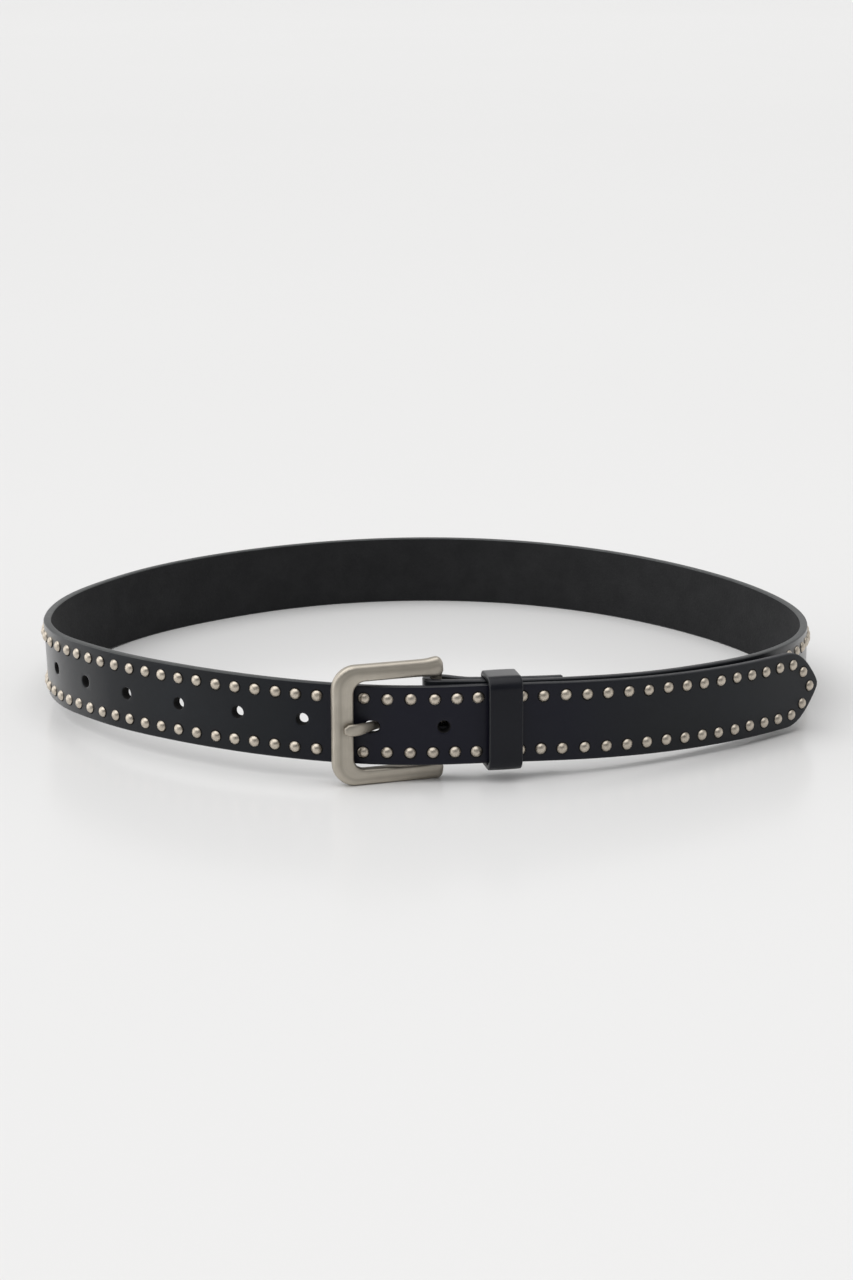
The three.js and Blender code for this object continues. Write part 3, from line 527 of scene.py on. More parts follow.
def build_frame(materials):
    points, faces, wear_and_shade, run, cross = [], [], [], [], []
    rings = []
    travelled, before = 0.0, None
    for (o, i, share) in frame_stations():
        width = math.hypot(i[0] - o[0], i[1] - o[1])
        e = ((i[0] - o[0]) / width, (i[1] - o[1]) / width)
        middle = ((o[0] + i[0]) / 2, (o[1] + i[1]) / 2)
        if before:
            travelled += math.hypot(middle[0] - before[0], middle[1] - before[1])
        before = middle
        full = width if share >= 1 else max(width, 3.6)
        ring = []
        for w, c in frame_section(full):
            w *= width / full
            thick = c * (share ** 0.6 if share < 1 else 1)
            a, z = o[0] + e[0] * w, o[1] + e[1] * w
            ring.append(len(points))
            points.append((a, thick, z))
            near_step = math.exp(-((w - 2.75) / 0.75) ** 2) if c < 0 else 0
            near_lip = math.exp(-((width - w) / 0.7) ** 2)
            near_back = 0.6 if c > 0.5 else 0
            wear_and_shade.append(min(1, 0.42 * near_step + 0.7 * near_lip + near_back))
            run.append(travelled)
            cross.append(w + (20 if c > 0 else 0))
        rings.append(ring)
    for a, b in zip(rings, rings[1:]):
        for k in range(len(a)):
            q = (k + 1) % len(a)
            faces.append((a[k], a[q], b[q], b[k]))
    for ring in (rings[0], rings[-1]):
        middle = np.mean([points[k] for k in ring], axis=0)
        middle[0] += 0.05
        centre = len(points)
        points.append(tuple(middle))
        wear_and_shade.append(0.4)
        run.append(run[ring[0]])
        cross.append(cross[ring[0]])
        for k in range(len(ring)):
            faces.append((ring[k], ring[(k + 1) % len(ring)], centre))
    # the bar is darker around the place where the prong's tip rests
    pts = np.array(points)
    dz = (pts[:, 2] - PRONG_TIP[3]) / (PRONG_TIP_WIDTH / 2 + 0.5)
    da = (pts[:, 0] - 2.4) / 3.6
    wear_and_shade = np.minimum(1, np.array(wear_and_shade) + 0.6 * np.exp(-dz ** 4 - da ** 4) * (pts[:, 1] < -1))
    frame_obj = add_mesh("buckle_cast_frame", from_buckle(pts), faces, materials, None,
                         {"wear_and_shade": wear_and_shade, "run": run, "cross": cross}, sharp_angle=50)
    # rear bar, joined to the cast arms; it takes the darkest tone, painted shade inside the leather's fold
    sides, rows = 28, 18
    z0, z1 = ARM_HEIGHT * 0.45, FRAME_HEIGHT - ARM_HEIGHT * 0.45
    bpts, bfaces = [], []
    for r in range(rows + 1):
        for k in range(sides):
            a = 2 * math.pi * k / sides
            bpts.append((BUCKLE_LENGTH + BAR_RADIUS * math.cos(a), BAR_RADIUS * math.sin(a), z0 + (z1 - z0) * r / rows))
    for r in range(rows):
        for k in range(sides):
            q = (k + 1) % sides
            bfaces.append((r * sides + k, r * sides + q, (r + 1) * sides + q, (r + 1) * sides + k))
    bfaces.append(tuple(range(sides)))
    bfaces.append(tuple(rows * sides + k for k in range(sides)))
    bar_obj = add_mesh("rear_bar_cutter", from_buckle(bpts), bfaces, materials, None,
                       {"wear_and_shade": [1.6] * len(bpts), "run": [p[2] for p in bpts], "cross": [0.0] * len(bpts)}, sharp_angle=50)
    union = frame_obj.modifiers.new("join_bar", "BOOLEAN")
    union.operation, union.solver, union.object = "UNION", "EXACT", bar_obj
    bpy.context.view_layer.update()
    dg = bpy.context.evaluated_depsgraph_get()
    joined = bpy.data.meshes.new_from_object(frame_obj.evaluated_get(dg))
    frame_obj.modifiers.clear()
    old = frame_obj.data
    frame_obj.data = joined
    bpy.data.meshes.remove(old)
    bar_mesh = bar_obj.data
    bpy.data.objects.remove(bar_obj)
    bpy.data.meshes.remove(bar_mesh)
    joined.name = "buckle_cast_frame"
    return frame_obj


def build_prong(materials):
    rows = [tuple(r) for r in PRONG]
    R = BAR_RADIUS + 0.35 + PRONG_THICK / 2
    for a in range(-90, 161, 10):
        q = math.radians(a)
        rows.append((BUCKLE_LENGTH + R * math.cos(q), R * math.sin(q), PRONG_WIDTH / 2, float(FOLD_START[2]) + STRAP_WIDTH / 2))
    rows = np.array(rows)
    at = np.concatenate([[0], np.cumsum(np.hypot(*np.diff(rows[:, :2], axis=0).T))])
    bends = [natural_bends(at, rows[:, k]) for k in range(4)]
    fine = np.concatenate([np.linspace(0, at[11], 70), np.linspace(at[11], at[-1], 36)[1:]])

    def value(u, k):
        i = np.clip(np.searchsorted(at, u, side="left") - 1, 0, len(at) - 2)
        h = at[i + 1] - at[i]
        a, b = (at[i + 1] - u) / h, (u - at[i]) / h
        m, v = bends[k], rows[:, k]
        return a * v[i] + b * v[i + 1] + ((a ** 3 - a) * m[i] + (b ** 3 - b) * m[i + 1]) * h * h / 6

    line = np.stack([value(fine, k) for k in range(4)], -1)
    # the two rounded ends
    def cap(end, direction, length, steps=6):
        return [(end[0] + direction[0] * length * math.sin(math.pi / 2 * k / steps),
                 end[1] + direction[1] * length * math.sin(math.pi / 2 * k / steps),
                 math.cos(math.pi / 2 * k / steps)) for k in range(1, steps)]
    d = line[0, :2] - line[1, :2]
    d /= np.linalg.norm(d)
    full = [(*p, 1.0) for p in line]
    front_rows = [(x, y, line[0, 2] * (0.3 + 0.7 * c), line[0, 3], c) for x, y, c in cap(line[0, :2], d, 0.75)][::-1]
    d2 = line[-1, :2] - line[-2, :2]
    d2 /= np.linalg.norm(d2)
    back_rows = [(x, y, line[-1, 2] * (0.4 + 0.6 * c), line[-1, 3], c) for x, y, c in cap(line[-1, :2], d2, 0.5)]
    stations = front_rows + full + back_rows
    # a domed upper face and a flatter under face; upper is to the front
    section = []
    for k in range(20):
        a = 2 * math.pi * k / 20
        c, sn = math.cos(a), math.sin(a)
        power = 0.62
        w = math.copysign(abs(c) ** power, c)
        o = math.copysign(abs(sn) ** (0.8 if sn > 0 else 0.5), sn)
        section.append((w, o))
    points, faces, wear_and_shade, run, cross = [], [], [], [], []
    n = len(stations)
    xy = np.array([(p[0], p[1]) for p in stations])
    travelled = np.concatenate([[0], np.cumsum(np.hypot(*np.diff(xy, axis=0).T))])
    # further back than about 7 mm from its tip, where it goes through the hole and under the strap, the prong is
    # darker: painted shade; it is a little darker along its two edges too
    for i, (x, y, half, level, share) in enumerate(stations):
        a, b = xy[max(0, i - 1)], xy[min(n - 1, i + 1)]
        dx, dy = (b - a) / np.linalg.norm(b - a)
        side = (dy, -dx)                     # to the front
        for w, o in section:
            q = o * PRONG_THICK / 2 * max(0.12, share)
            points.append((x + side[0] * q, y + side[1] * q, level + w * half))
            wear_and_shade.append(min(1.0, 0.1 + 0.85 * float(smooth((travelled[i] - 7) / 5)) + 0.35 * abs(w) ** 6))
            run.append(travelled[i])
            cross.append(w * half)
    m = len(section)
    for i in range(n - 1):
        for k in range(m):
            q = (k + 1) % m
            faces.append((i * m + k, i * m + q, (i + 1) * m + q, (i + 1) * m + k))
    for i, first in ((0, 0), (n - 1, (n - 1) * m)):
        centre = len(points)
        points.append(tuple(np.mean(points[first:first + m], axis=0)))
        wear_and_shade.append(0.3 if i == 0 else 1.0)
        run.append(travelled[i])
        cross.append(0.0)
        for k in range(m):
            faces.append((first + k, first + (k + 1) % m, centre))
    return add_mesh("buckle_prong_body", from_buckle(points), faces, materials, None,
                    {"wear_and_shade": wear_and_shade, "run": run, "cross": cross}, sharp_angle=60)


# ---------------------------------------------------------------- keeper
def build_keeper(materials):
    lo, hi = 60.0, 160.0
    for _ in range(60):
        mid = (lo + hi) / 2
        if loop_place(np.array([mid]))[0, 0] > KEEPER_X:
            lo = mid
        else:
            hi = mid
    p = place(lo)[0]
    v0, v1 = KEEPER_DEPTH
    z0, z1 = KEEPER_Z
    f, r = KEEPER_FRONT_CORNER, KEEPER_REAR_CORNER
    path = []                        # depth, height, normal outwards

    def arc(cv, cz, radius, a0, a1, steps=12):
        for k in range(steps + 1):
            a = math.radians(a0 + (a1 - a0) * k / steps)
            path.append((cv + radius * math.cos(a), cz + radius * math.sin(a), math.cos(a), math.sin(a)))

    def side(va, za, vb, zb, nv, nz, steps):
        for k in range(1, steps):
            share = k / steps
            path.append((va + (vb - va) * share, za + (zb - za) * share, nv, nz))
    arc(v0 + f, z1 - f, f, 90, 180, 16)
    side(v0, z1 - f, v0, z0 + f, -1, 0, 26)
    arc(v0 + f, z0 + f, f, 180, 270, 16)
    side(v0 + f, z0, v1 - r, z0, 0, -1, 8)
    arc(v1 - r, z0 + r, r, 270, 360)
    side(v1, z0 + r, v1, z1 - r, 1, 0, 26)
    arc(v1 - r, z1 - r, r, 0, 90)
    side(v1 - r, z1, v0 + f, z1, 0, 1, 8)
    W, T = KEEPER_WIDTH / 2, KEEPER_WALL
    # section: along the strap, and in from the outer surface
    section = [(-W + 0.75 + (2 * W - 1.5) * k / 8, 0.0) for k in range(9)]
    section += [(W - 0.5, 0.02), (W - 0.26, 0.1), (W - 0.09, 0.27), (W, 0.55), (W, T * 0.5), (W, T - 0.45), (W - 0.1, T - 0.2), (W - 0.3, T - 0.06), (W - 0.6, T)]
    section += [(W - 0.75 - (2 * W - 1.5) * k / 8, T) for k in range(1, 9)]
    section += [(-W + 0.6, T), (-W + 0.3, T - 0.06), (-W + 0.1, T - 0.2), (-W, T - 0.45), (-W, T * 0.5), (-W, 0.55), (-W + 0.09, 0.27), (-W + 0.26, 0.1), (-W + 0.5, 0.02)]
    slots_of = [0] * 8 + [0, 0] + [1] * 6 + [2] * 9 + [2] + [1] * 7 + [0] * 2
    points, faces, slots, around, across = [], [], [], [], []
    travelled, before = 0.0, None
    n, m = len(path), len(section)
    for (v, z, nv, nz) in path:
        if before:
            travelled += math.hypot(v - before[0], z - before[1])
        before = (v, z)
        front = math.exp(-((v - v0) / 1.5) ** 2)
        bow = 0.22 * front * math.cos((z - (z0 + z1) / 2) / (z1 - z0) * math.pi)
        for x, d in section:
            # the band's sides draw in a little, and its surface crowns across its width
            crown = 0.1 * (1 - (x / W) ** 2) if d < 0.6 else 0
            vv = v - nv * (d - crown) - bow
            zz = z - nz * (d - crown)
            points.append((p[0] - p[4] * x - p[6] * vv, p[1] - p[5] * x - p[7] * vv, zz))
            around.append(travelled)
            across.append(x)
    for i in range(n):
        j = (i + 1) % n
        for k in range(m):
            q = (k + 1) % m
            faces.append((i * m + k, i * m + q, j * m + q, j * m + k))
            slots.append(slots_of[k] if k < len(slots_of) else 0)
    return add_mesh("keeper_loop_band", points, faces, materials, slots,
                    {"along": around, "across": across}, sharp_angle=45)


# ---------------------------------------------------------------- rivets of the folded end
def build_rivet(name, along, materials):
    p = place(LOOP_LENGTH - along)[0]
    middle = on_strap(LOOP_LENGTH - along, STRAP_WIDTH / 2, 0)[0]
    close = STRAP_THICK + PLY_GAP
    away = close + (2 * FOLD_RADIUS - close) * (1 - float(smooth(along / RETURN_CLOSE)))
    top = away + STRAP_THICK / 2 + 0.02
    R, H = RIVET_HEAD_RADIUS, RIVET_HEAD_HEIGHT
    rows = [(0.0, -1.3), (RIVET_RADIUS * 0.8, -1.3), (RIVET_RADIUS, -1.12), (RIVET_RADIUS, top * 0.3), (RIVET_RADIUS, top - 0.02),
            (R * 0.96, top), (R, top + 0.1), (R * 0.985, top + 0.26)]
    for k in range(1, 9):
        a = math.pi / 2 * (1 - k / 8)
        rows.append((R * 0.985 * math.sin(a) ** 0.9 if k < 8 else 0.0, top + 0.26 + (H - 0.26) * math.cos(a)))
    sides = 32
    n = np.array([-p[6], -p[7], 0.0])
    u = np.array([p[4], p[5], 0.0])
    v = np.cross(n, u)
    points, faces, tone, rim = [middle + n * rows[0][1]], [], [], []
    for r, q in rows[1:-1]:
        for i in range(sides):
            a = 2 * math.pi * i / sides
            points.append(middle + u * (r * math.cos(a)) + v * (r * math.sin(a)) + n * q)
    points.append(middle + n * rows[-1][1])
    count = len(rows) - 2
    for i in range(sides):
        j = (i + 1) % sides
        faces.append((0, 1 + j, 1 + i))
        for r in range(count - 1):
            a, b = 1 + r * sides, 1 + (r + 1) * sides
            faces.append((a + i, a + j, b + j, b + i))
        last = 1 + (count - 1) * sides
        faces.append((last + i, last + j, len(points) - 1))
    tone = [0.4] * len(points)
    # rim is 1 on the shank and the head's foot, which the material darkens: patina with painted contact shade
    rim = [1.0] + [1.0 if q <= top + 0.1 else 0.5 * (1 - (q - top) / H) for r, q in rows[1:-1] for _ in range(sides)] + [0.0]
    return add_mesh(name, points, faces, materials, None, {"tone": tone, "rim": rim}, sharp_angle=50)


# ---------------------------------------------------------------- materials
def linear(r, g, b):
    def f(c):
        c /= 255
        return c / 12.92 if c <= 0.04045 else ((c + 0.055) / 1.055) ** 2.4
    return (f(r), f(g), f(b), 1.0)


class Look:
    """A small helper to lay out one material's nodes."""

    def __init__(self, name):
        self.material = bpy.data.materials.new(name)
        self.material.use_nodes = True
        self.tree = self.material.node_tree
        self.tree.nodes.clear()
        self.out = self.node("ShaderNodeOutputMaterial")
        self.shader = self.node("ShaderNodeBsdfPrincipled")
        self.link(self.shader.outputs[0], self.out.inputs[0])
        self.place = self.node("ShaderNodeTexCoord").outputs["Object"]

    def node(self, kind, **settings):
        n = self.tree.nodes.new(kind)
        for k, v in settings.items():
            setattr(n, k, v)
        return n

    def link(self, a, b):
        self.tree.links.new(a, b)

    def put(self, socket, value):
        if isinstance(value, bpy.types.NodeSocket):
            self.link(value, socket)
        else:
            socket.default_value = value

    def noise(self, scale, detail=3, roughness=0.55, vector=None, distortion=0.0):
        n = self.node("ShaderNodeTexNoise")
        self.link(vector or self.place, n.inputs["Vector"])
        n.inputs["Scale"].default_value = scale
        n.inputs["Detail"].default_value = detail
        n.inputs["Roughness"].default_value = roughness
        n.inputs["Distortion"].default_value = distortion
        return n.outputs[0]

    def cells(self, scale, feature="F1", vector=None, randomness=1.0):
        n = self.node("ShaderNodeTexVoronoi", feature=feature)
        self.link(vector or self.place, n.inputs["Vector"])
        n.inputs["Scale"].default_value = scale
        n.inputs["Randomness"].default_value = randomness
        return n.outputs["Distance"]

    def spread(self, value, a, b, low, high):
        n = self.node("ShaderNodeMapRange")
        self.link(value, n.inputs["Value"])
        for socket, v in zip(("From Min", "From Max", "To Min", "To Max"), (a, b, low, high)):
            n.inputs[socket].default_value = v
        return n.outputs[0]

    def math(self, kind, a, b=0.0, clamp=False):
        n = self.node("ShaderNodeMath", operation=kind, use_clamp=clamp)
        self.put(n.inputs[0], a)
        self.put(n.inputs[1], b)
        return n.outputs[0]

    def mix(self, share, a, b):
        n = self.node("ShaderNodeMix", data_type="RGBA")
        self.put(n.inputs[0], share)
        self.put(n.inputs[6], a)
        self.put(n.inputs[7], b)
        return n.outputs[2]

    def bump(self, height, distance, strength=1.0, under=None):
        n = self.node("ShaderNodeBump")
        self.link(height, n.inputs["Height"])
        n.inputs["Distance"].default_value = distance
        n.inputs["Strength"].default_value = strength
        if under is not None:
            self.link(under, n.inputs["Normal"])
        return n.outputs[0]

    def attribute(self, name):
        return self.node("ShaderNodeAttribute", attribute_name=name).outputs["Fac"]

    def vector(self, x, y, z=0.0):
        n = self.node("ShaderNodeCombineXYZ")
        for socket, v in zip(n.inputs, (x, y, z)):
            self.put(socket, v)
        return n.outputs[0]

    def set(self, **values):
        for key, value in values.items():
            self.put(self.shader.inputs[key.replace("_", " ")], value)
        return self.material


def grain_leather(name, dark, light, rough, navy=None):
    """Smooth, softly glossed full-grain leather: fine pores, faint creases, a slow mottling of the dye.
    navy: stations between which the dye leans to blue."""
    k = Look(name)
    mottle = k.noise(38, 3, 0.5)
    fine = k.noise(1500, 2, 0.5)
    pores = k.cells(1500)
    creases = k.cells(620, "DISTANCE_TO_EDGE")
    colour = k.mix(k.spread(mottle, 0.3, 0.7, 0, 1), dark, light)
    if navy:
        s = k.attribute("along")
        blue = k.math("MULTIPLY", k.spread(s, navy[0], navy[0] + 35, 0, 1), k.spread(s, navy[1] - 30, navy[1], 1, 0))
        blue = k.math("MULTIPLY", blue, k.spread(k.noise(24, 2, 0.5), 0.3, 0.62, 0.55, 1.0))
        colour = k.mix(blue, colour, (0.0036, 0.0040, 0.0122, 1))
    scuff = k.spread(k.noise(190, 4, 0.6, distortion=0.5), 0.58, 0.85, 0, 0.12)
    colour = k.mix(scuff, colour, tuple(min(1, c * 2.0 + 0.003) for c in light[:3]) + (1,))
    roughness = k.math("ADD", k.spread(mottle, 0.3, 0.7, rough - 0.02, rough + 0.03), k.spread(fine, 0.3, 0.7, -0.02, 0.02))
    grain = k.math("ADD", k.spread(pores, 0.0, 0.5, 0, 0.7), k.spread(creases, 0.0, 0.12, 0, 0.5))
    normal = k.bump(grain, 0.000028, 0.4)
    normal = k.bump(fine, 0.000022, 0.25, normal)
    normal = k.bump(k.noise(110, 2, 0.5), 0.0002, 0.16, normal)
    # the wax on the face shines more where it is seen along the surface
    glance = k.node("ShaderNodeLayerWeight").outputs["Facing"]
    return k.set(Base_Color=colour, Roughness=roughness, Normal=normal, IOR=1.47,
                 Specular_IOR_Level=k.spread(glance, 0.42, 0.76, 0.17, 0.55),
                 Coat_Weight=k.spread(glance, 0.42, 0.76, 0.3, 0.95), Coat_Roughness=0.3, Coat_IOR=1.4)


def edge_paint(name, dark, light, dark_and_shaded_spans=None):
    """Painted, burnished cut edge: smoother than the face, with faint lengthwise lines of the layers.
    The last argument gives two stations: up to the first the edge is darker, and from the second one on, where the
    inner ply lies under the tongue and keeper, it is darker as painted shade."""
    k = Look(name)
    s = k.attribute("along")
    lines = k.noise(1.0, 3, 0.6, vector=k.vector(k.math("MULTIPLY", s, 0.05), k.attribute("across"), 0.0))
    patch = k.noise(260, 4, 0.65)
    colour = k.mix(k.spread(patch, 0.35, 0.7, 0, 1), dark, light)
    if dark_and_shaded_spans:
        # darker edge towards the tip; painted shade on the inner ply's edge near the buckle
        darker_and_shaded = k.math("MAXIMUM", k.spread(s, dark_and_shaded_spans[0] - 20, dark_and_shaded_spans[0] + 20, 1, 0), k.spread(s, dark_and_shaded_spans[1] - 20, dark_and_shaded_spans[1] + 20, 0, 1))
        colour = k.mix(darker_and_shaded, colour, (0.0085, 0.0095, 0.0135, 1))
    roughness = k.spread(patch, 0.3, 0.7, 0.36, 0.48)
    normal = k.bump(k.noise(900, 3, 0.6), 0.00004, 0.35)
    normal = k.bump(lines, 0.00005, 0.35, normal)
    return k.set(Base_Color=colour, Roughness=roughness, Normal=normal, Specular_IOR_Level=0.5)


def flesh_leather(name, dark, light):
    """The unglazed inner side: matt, with a short felted nap and fine cross lines."""
    k = Look(name)
    nap = k.noise(1100, 4, 0.75, distortion=0.4)
    cloudy = k.noise(90, 4, 0.6)
    fleck = k.cells(900)
    colour = k.mix(k.spread(cloudy, 0.35, 0.7, 0, 1), dark, light)
    colour = k.mix(k.spread(nap, 0.55, 0.85, 0, 0.3), colour, tuple(min(1, c * 1.7) for c in light[:3]) + (1,))
    roughness = k.spread(nap, 0.3, 0.7, 0.66, 0.82)
    normal = k.bump(k.math("ADD", nap, k.spread(fleck, 0, 0.6, 0, 0.5)), 0.00009, 0.6)
    return k.set(Base_Color=colour, Roughness=roughness, Normal=normal, Specular_IOR_Level=0.22)


def cut_leather(name):
    """The raw wall of a punched hole."""
    k = Look(name)
    fibre = k.noise(1800, 4, 0.7)
    colour = k.mix(k.spread(fibre, 0.35, 0.7, 0, 1), (0.0045, 0.0045, 0.005, 1), (0.016, 0.015, 0.015, 1))
    return k.set(Base_Color=colour, Roughness=k.spread(fibre, 0.3, 0.7, 0.75, 0.95), Normal=k.bump(fibre, 0.00008, 0.7),
                 Specular_IOR_Level=0.2)


def cast_nickel(name, pale, deep, patina_and_shade):
    """Antique satin nickel: brushed along the bars, darker where polish doesn't reach, and darker still as painted
    shade where the rear bar and the prong lie hidden under the leather.
    """
    k = Look(name)
    run, cross = k.attribute("run"), k.attribute("cross")
    streaks = k.noise(1.0, 4, 0.65, vector=k.vector(k.math("MULTIPLY", run, 0.12), k.math("MULTIPLY", cross, 3.2), 0.0))
    broad = k.noise(70, 4, 0.6)
    grit = k.noise(1700, 2, 0.5)
    colour = k.mix(k.spread(broad, 0.32, 0.7, 0, 1), deep, pale)
    colour = k.mix(k.spread(streaks, 0.42, 0.75, 0, 0.22), colour, tuple(c * 0.78 for c in deep[:3]) + (1,))
    dirt_and_shade = k.math("MULTIPLY", k.attribute("wear_and_shade"), k.spread(broad, 0.25, 0.75, 0.6, 1.0))
    colour = k.mix(k.math("MULTIPLY", dirt_and_shade, 0.62, clamp=True), colour, patina_and_shade)
    roughness = k.math("ADD", k.spread(streaks, 0.3, 0.7, 0.42, 0.52), k.math("MULTIPLY", dirt_and_shade, 0.1))
    normal = k.bump(streaks, 0.00002, 0.25)
    normal = k.bump(grit, 0.000012, 0.25, normal)
    return k.set(Base_Color=colour, Metallic=1.0, Roughness=roughness, Normal=normal)


def stud_nickel(name, pale, deep, patina_and_shade):
    """The studs' plating: each a little different, dark where dome meets leather: patina with painted contact shade."""
    k = Look(name)
    tone, rim = k.attribute("tone"), k.attribute("rim")
    broad = k.noise(300, 3, 0.55)
    colour = k.mix(k.math("MULTIPLY", k.math("ADD", tone, broad), 0.5), deep, pale)
    colour = k.mix(k.spread(k.noise(1300, 3, 0.6), 0.6, 0.85, 0, 0.16), colour, patina_and_shade)
    # the foot of each dome, where rim is high, is darker: patina with painted contact shade
    colour = k.mix(k.spread(rim, 0.88, 0.99, 0, 0.85), colour, patina_and_shade)
    roughness = k.math("ADD", k.spread(broad, 0.3, 0.7, 0.37, 0.44), k.spread(rim, 0.85, 1.0, 0, 0.2))
    normal = k.bump(k.noise(420, 2, 0.5), 0.00005, 0.16)
    return k.set(Base_Color=colour, Metallic=1.0, Roughness=roughness, Normal=normal)


def ring_dirt_and_shadow(name):
    """The dark ring round each stud: painted contact shadow on the leather, with some dirt."""
    k = Look(name)
    n = k.noise(1600, 3, 0.6)
    colour = k.mix(k.spread(n, 0.35, 0.7, 0, 1), (0.0032, 0.0024, 0.0018, 1), (0.009, 0.0065, 0.0048, 1))
    return k.set(Base_Color=colour, Roughness=k.spread(n, 0.3, 0.7, 0.6, 0.8), Normal=k.bump(n, 0.00004, 0.4),
                 Specular_IOR_Level=0.15)


grain = grain_leather("strap_grain", (0.0048, 0.0062, 0.0088, 1), (0.0082, 0.0105, 0.0142, 1), 0.45, (88, 232))
keeper_grain = grain_leather("keeper_grain", (0.0034, 0.0039, 0.0074, 1), (0.0058, 0.0066, 0.011, 1), 0.41)
edge = edge_paint("edge_paint", (0.034, 0.037, 0.038, 1), (0.064, 0.068, 0.0685, 1), (225, LOOP_LENGTH - 135))
keeper_edge = edge_paint("keeper_edge_paint", (0.014, 0.0155, 0.018, 1), (0.027, 0.029, 0.0315, 1))
flesh = flesh_leather("strap_flesh", (0.0145, 0.0148, 0.016, 1), (0.0205, 0.0209, 0.0222, 1))
cut = cut_leather("punched_wall")
# the dark ring round the studs: painted contact shadow with some dirt
stud_ring_dirt_and_shadow = ring_dirt_and_shadow("stud_ring_dirt_and_shadow")
nickel = cast_nickel("satin_nickel", (0.585, 0.541, 0.468, 1), (0.475, 0.436, 0.373, 1), (0.06, 0.05, 0.038, 1))
stud_metal = stud_nickel("stud_nickel", (0.655, 0.594, 0.508, 1), (0.54, 0.479, 0.4, 1), (0.035, 0.026, 0.018, 1))

# ---------------------------------------------------------------- pieces
rng = random.Random(4535)


def add_piece(obj, slot, *nodes):
    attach(obj, "root")
    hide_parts(*nodes)
    return obj


add_piece(build_strap([grain, edge, flesh, cut]), "strap_leather", "strap")
add_piece(build_keeper([keeper_grain, keeper_edge, flesh]), "keeper_leather", "keeper_loop")
add_piece(build_frame([nickel]), "buckle_metal", "buckle_frame")
add_piece(build_prong([nickel]), "buckle_metal", "buckle_prong")
for rivet, along in RIVETS.items():
    add_piece(build_rivet(rivet + "_turned", along, [stud_metal]), "stud_metal", rivet)

row_places = []
_s = STUD_FIRST
while _s < STUD_LAST:
    row_places.append(_s)
    _s += STUD_PITCH


def studs_between(start, end, across):
    column = 1 if across > 0 else 2
    return [(a + float(np.interp(a, STUD_SHIFT[:, 0], STUD_SHIFT[:, column])), across) for a in row_places if start <= a < end]


UP, FRONT_BAR_STATION, LEFT_END, BACK_END = STUD_FROM_MIDDLE, 203.0, 455.0, 790.0
STUD_NODES = {
    "studs_pointed_end": studs_between(0, FRONT_BAR_STATION, UP) + TIP_STUDS + studs_between(0, FRONT_BAR_STATION, -UP),
    "studs_left_upper": studs_between(FRONT_BAR_STATION, LEFT_END, UP),
    "studs_left_lower": studs_between(FRONT_BAR_STATION, LEFT_END, -UP),
    "studs_back_upper": studs_between(LEFT_END, BACK_END, UP),
    "studs_back_lower": studs_between(LEFT_END, BACK_END, -UP),
    "studs_right_upper": studs_between(BACK_END, STUD_LAST, UP),
    "studs_right_lower": studs_between(BACK_END, STUD_LAST, -UP),
}
for node, studs in STUD_NODES.items():
    add_piece(build_studs(node + "_domes", studs, [stud_metal, stud_ring_dirt_and_shadow], rng), "stud_metal", node)


# ---------------------------------------------------------------- floor and light
def build_stage():
    """One large pale, softly glossy floor that runs out to the horizon."""
    k = Look("studio_floor")
    tint = k.noise(1.3, 2, 0.5)
    k.set(Base_Color=k.mix(tint, (0.835, 0.833, 0.83, 1), (0.85, 0.848, 0.846, 1)), Roughness=0.19,
          Specular_IOR_Level=0.12, IOR=1.45)
    steps = [-40.0, -12.0, -4.0, -1.5, -0.6, 0.0, 0.6, 1.5, 4.0, 12.0, 40.0]
    n = len(steps)
    verts = [(x, y, 0.0) for y in steps for x in steps]
    faces = [(r * n + c, r * n + c + 1, (r + 1) * n + c + 1, (r + 1) * n + c) for r in range(n - 1) for c in range(n - 1)]
    mesh = bpy.data.meshes.new("studio_floor")
    mesh.from_pydata(verts, [], faces)
    mesh.materials.append(k.material)
    obj = bpy.data.objects.new("studio_floor", mesh)
    bpy.context.scene.collection.objects.link(obj)
    return obj


build_stage()
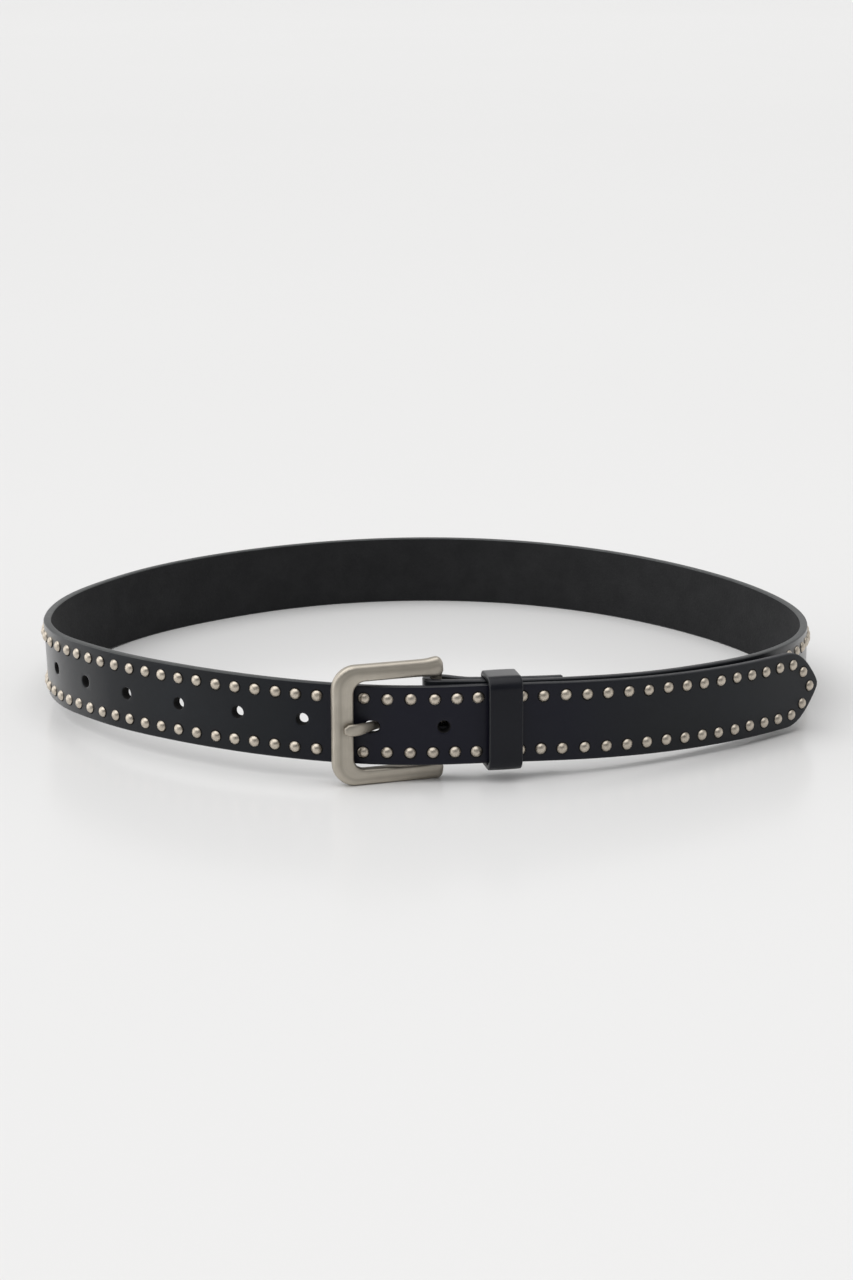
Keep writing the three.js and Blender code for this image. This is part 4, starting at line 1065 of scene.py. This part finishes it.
# one very broad soft light from above, a little from the left and from the front
key_data = bpy.data.lights.new("overhead_diffuser", "SUN")
key_data.energy, key_data.angle = 1.88, math.radians(78)
key = bpy.data.objects.new("overhead_diffuser", key_data)
key.rotation_mode = "QUATERNION"
key.rotation_quaternion = Vector((0.2, 0.16, -1.0)).to_track_quat("-Z", "Y")
bpy.context.scene.collection.objects.link(key)

# the air of the studio: pale all round near the horizon, dimmer higher up and on the viewer's side,
# brighter to the left where a broad window of light stands
world = bpy.data.worlds.new("studio_air")
bpy.context.scene.world = world
world.use_nodes = True
wt = world.node_tree
wt.nodes.clear()
w_out = wt.nodes.new("ShaderNodeOutputWorld")
w_back = wt.nodes.new("ShaderNodeBackground")
w_at = wt.nodes.new("ShaderNodeTexCoord")
w_split = wt.nodes.new("ShaderNodeSeparateXYZ")
wt.links.new(w_at.outputs["Generated"], w_split.inputs[0])


def world_range(socket, limits):
    node = wt.nodes.new("ShaderNodeMapRange")
    node.interpolation_type = "SMOOTHSTEP"
    for name, value in zip(("From Min", "From Max", "To Min", "To Max"), limits):
        node.inputs[name].default_value = value
    wt.links.new(socket, node.inputs["Value"])
    return node.outputs[0]


w_times = wt.nodes.new("ShaderNodeMath")
w_times.operation = "MULTIPLY"
wt.links.new(world_range(w_split.outputs[1], (-0.95, -0.1, 0.17, 0.77)), w_times.inputs[0])
wt.links.new(world_range(w_split.outputs[2], (0.18, 0.6, 1.0, 0.55)), w_times.inputs[1])
w_left = wt.nodes.new("ShaderNodeMath")
w_left.operation = "MULTIPLY"
wt.links.new(w_times.outputs[0], w_left.inputs[0])
wt.links.new(world_range(w_split.outputs[0], (-0.95, -0.3, 2.2, 1.0)), w_left.inputs[1])
wt.links.new(w_left.outputs[0], w_back.inputs["Strength"])
w_back.inputs["Color"].default_value = (1.0, 0.996, 0.992, 1)
wt.links.new(w_back.outputs[0], w_out.inputs[0])

view_settings = bpy.context.scene.view_settings
view_settings.view_transform = "Standard"
view_settings.look = "None"
view_settings.exposure, view_settings.gamma = 0.0, 1.0

bpy.context.view_layer.update()
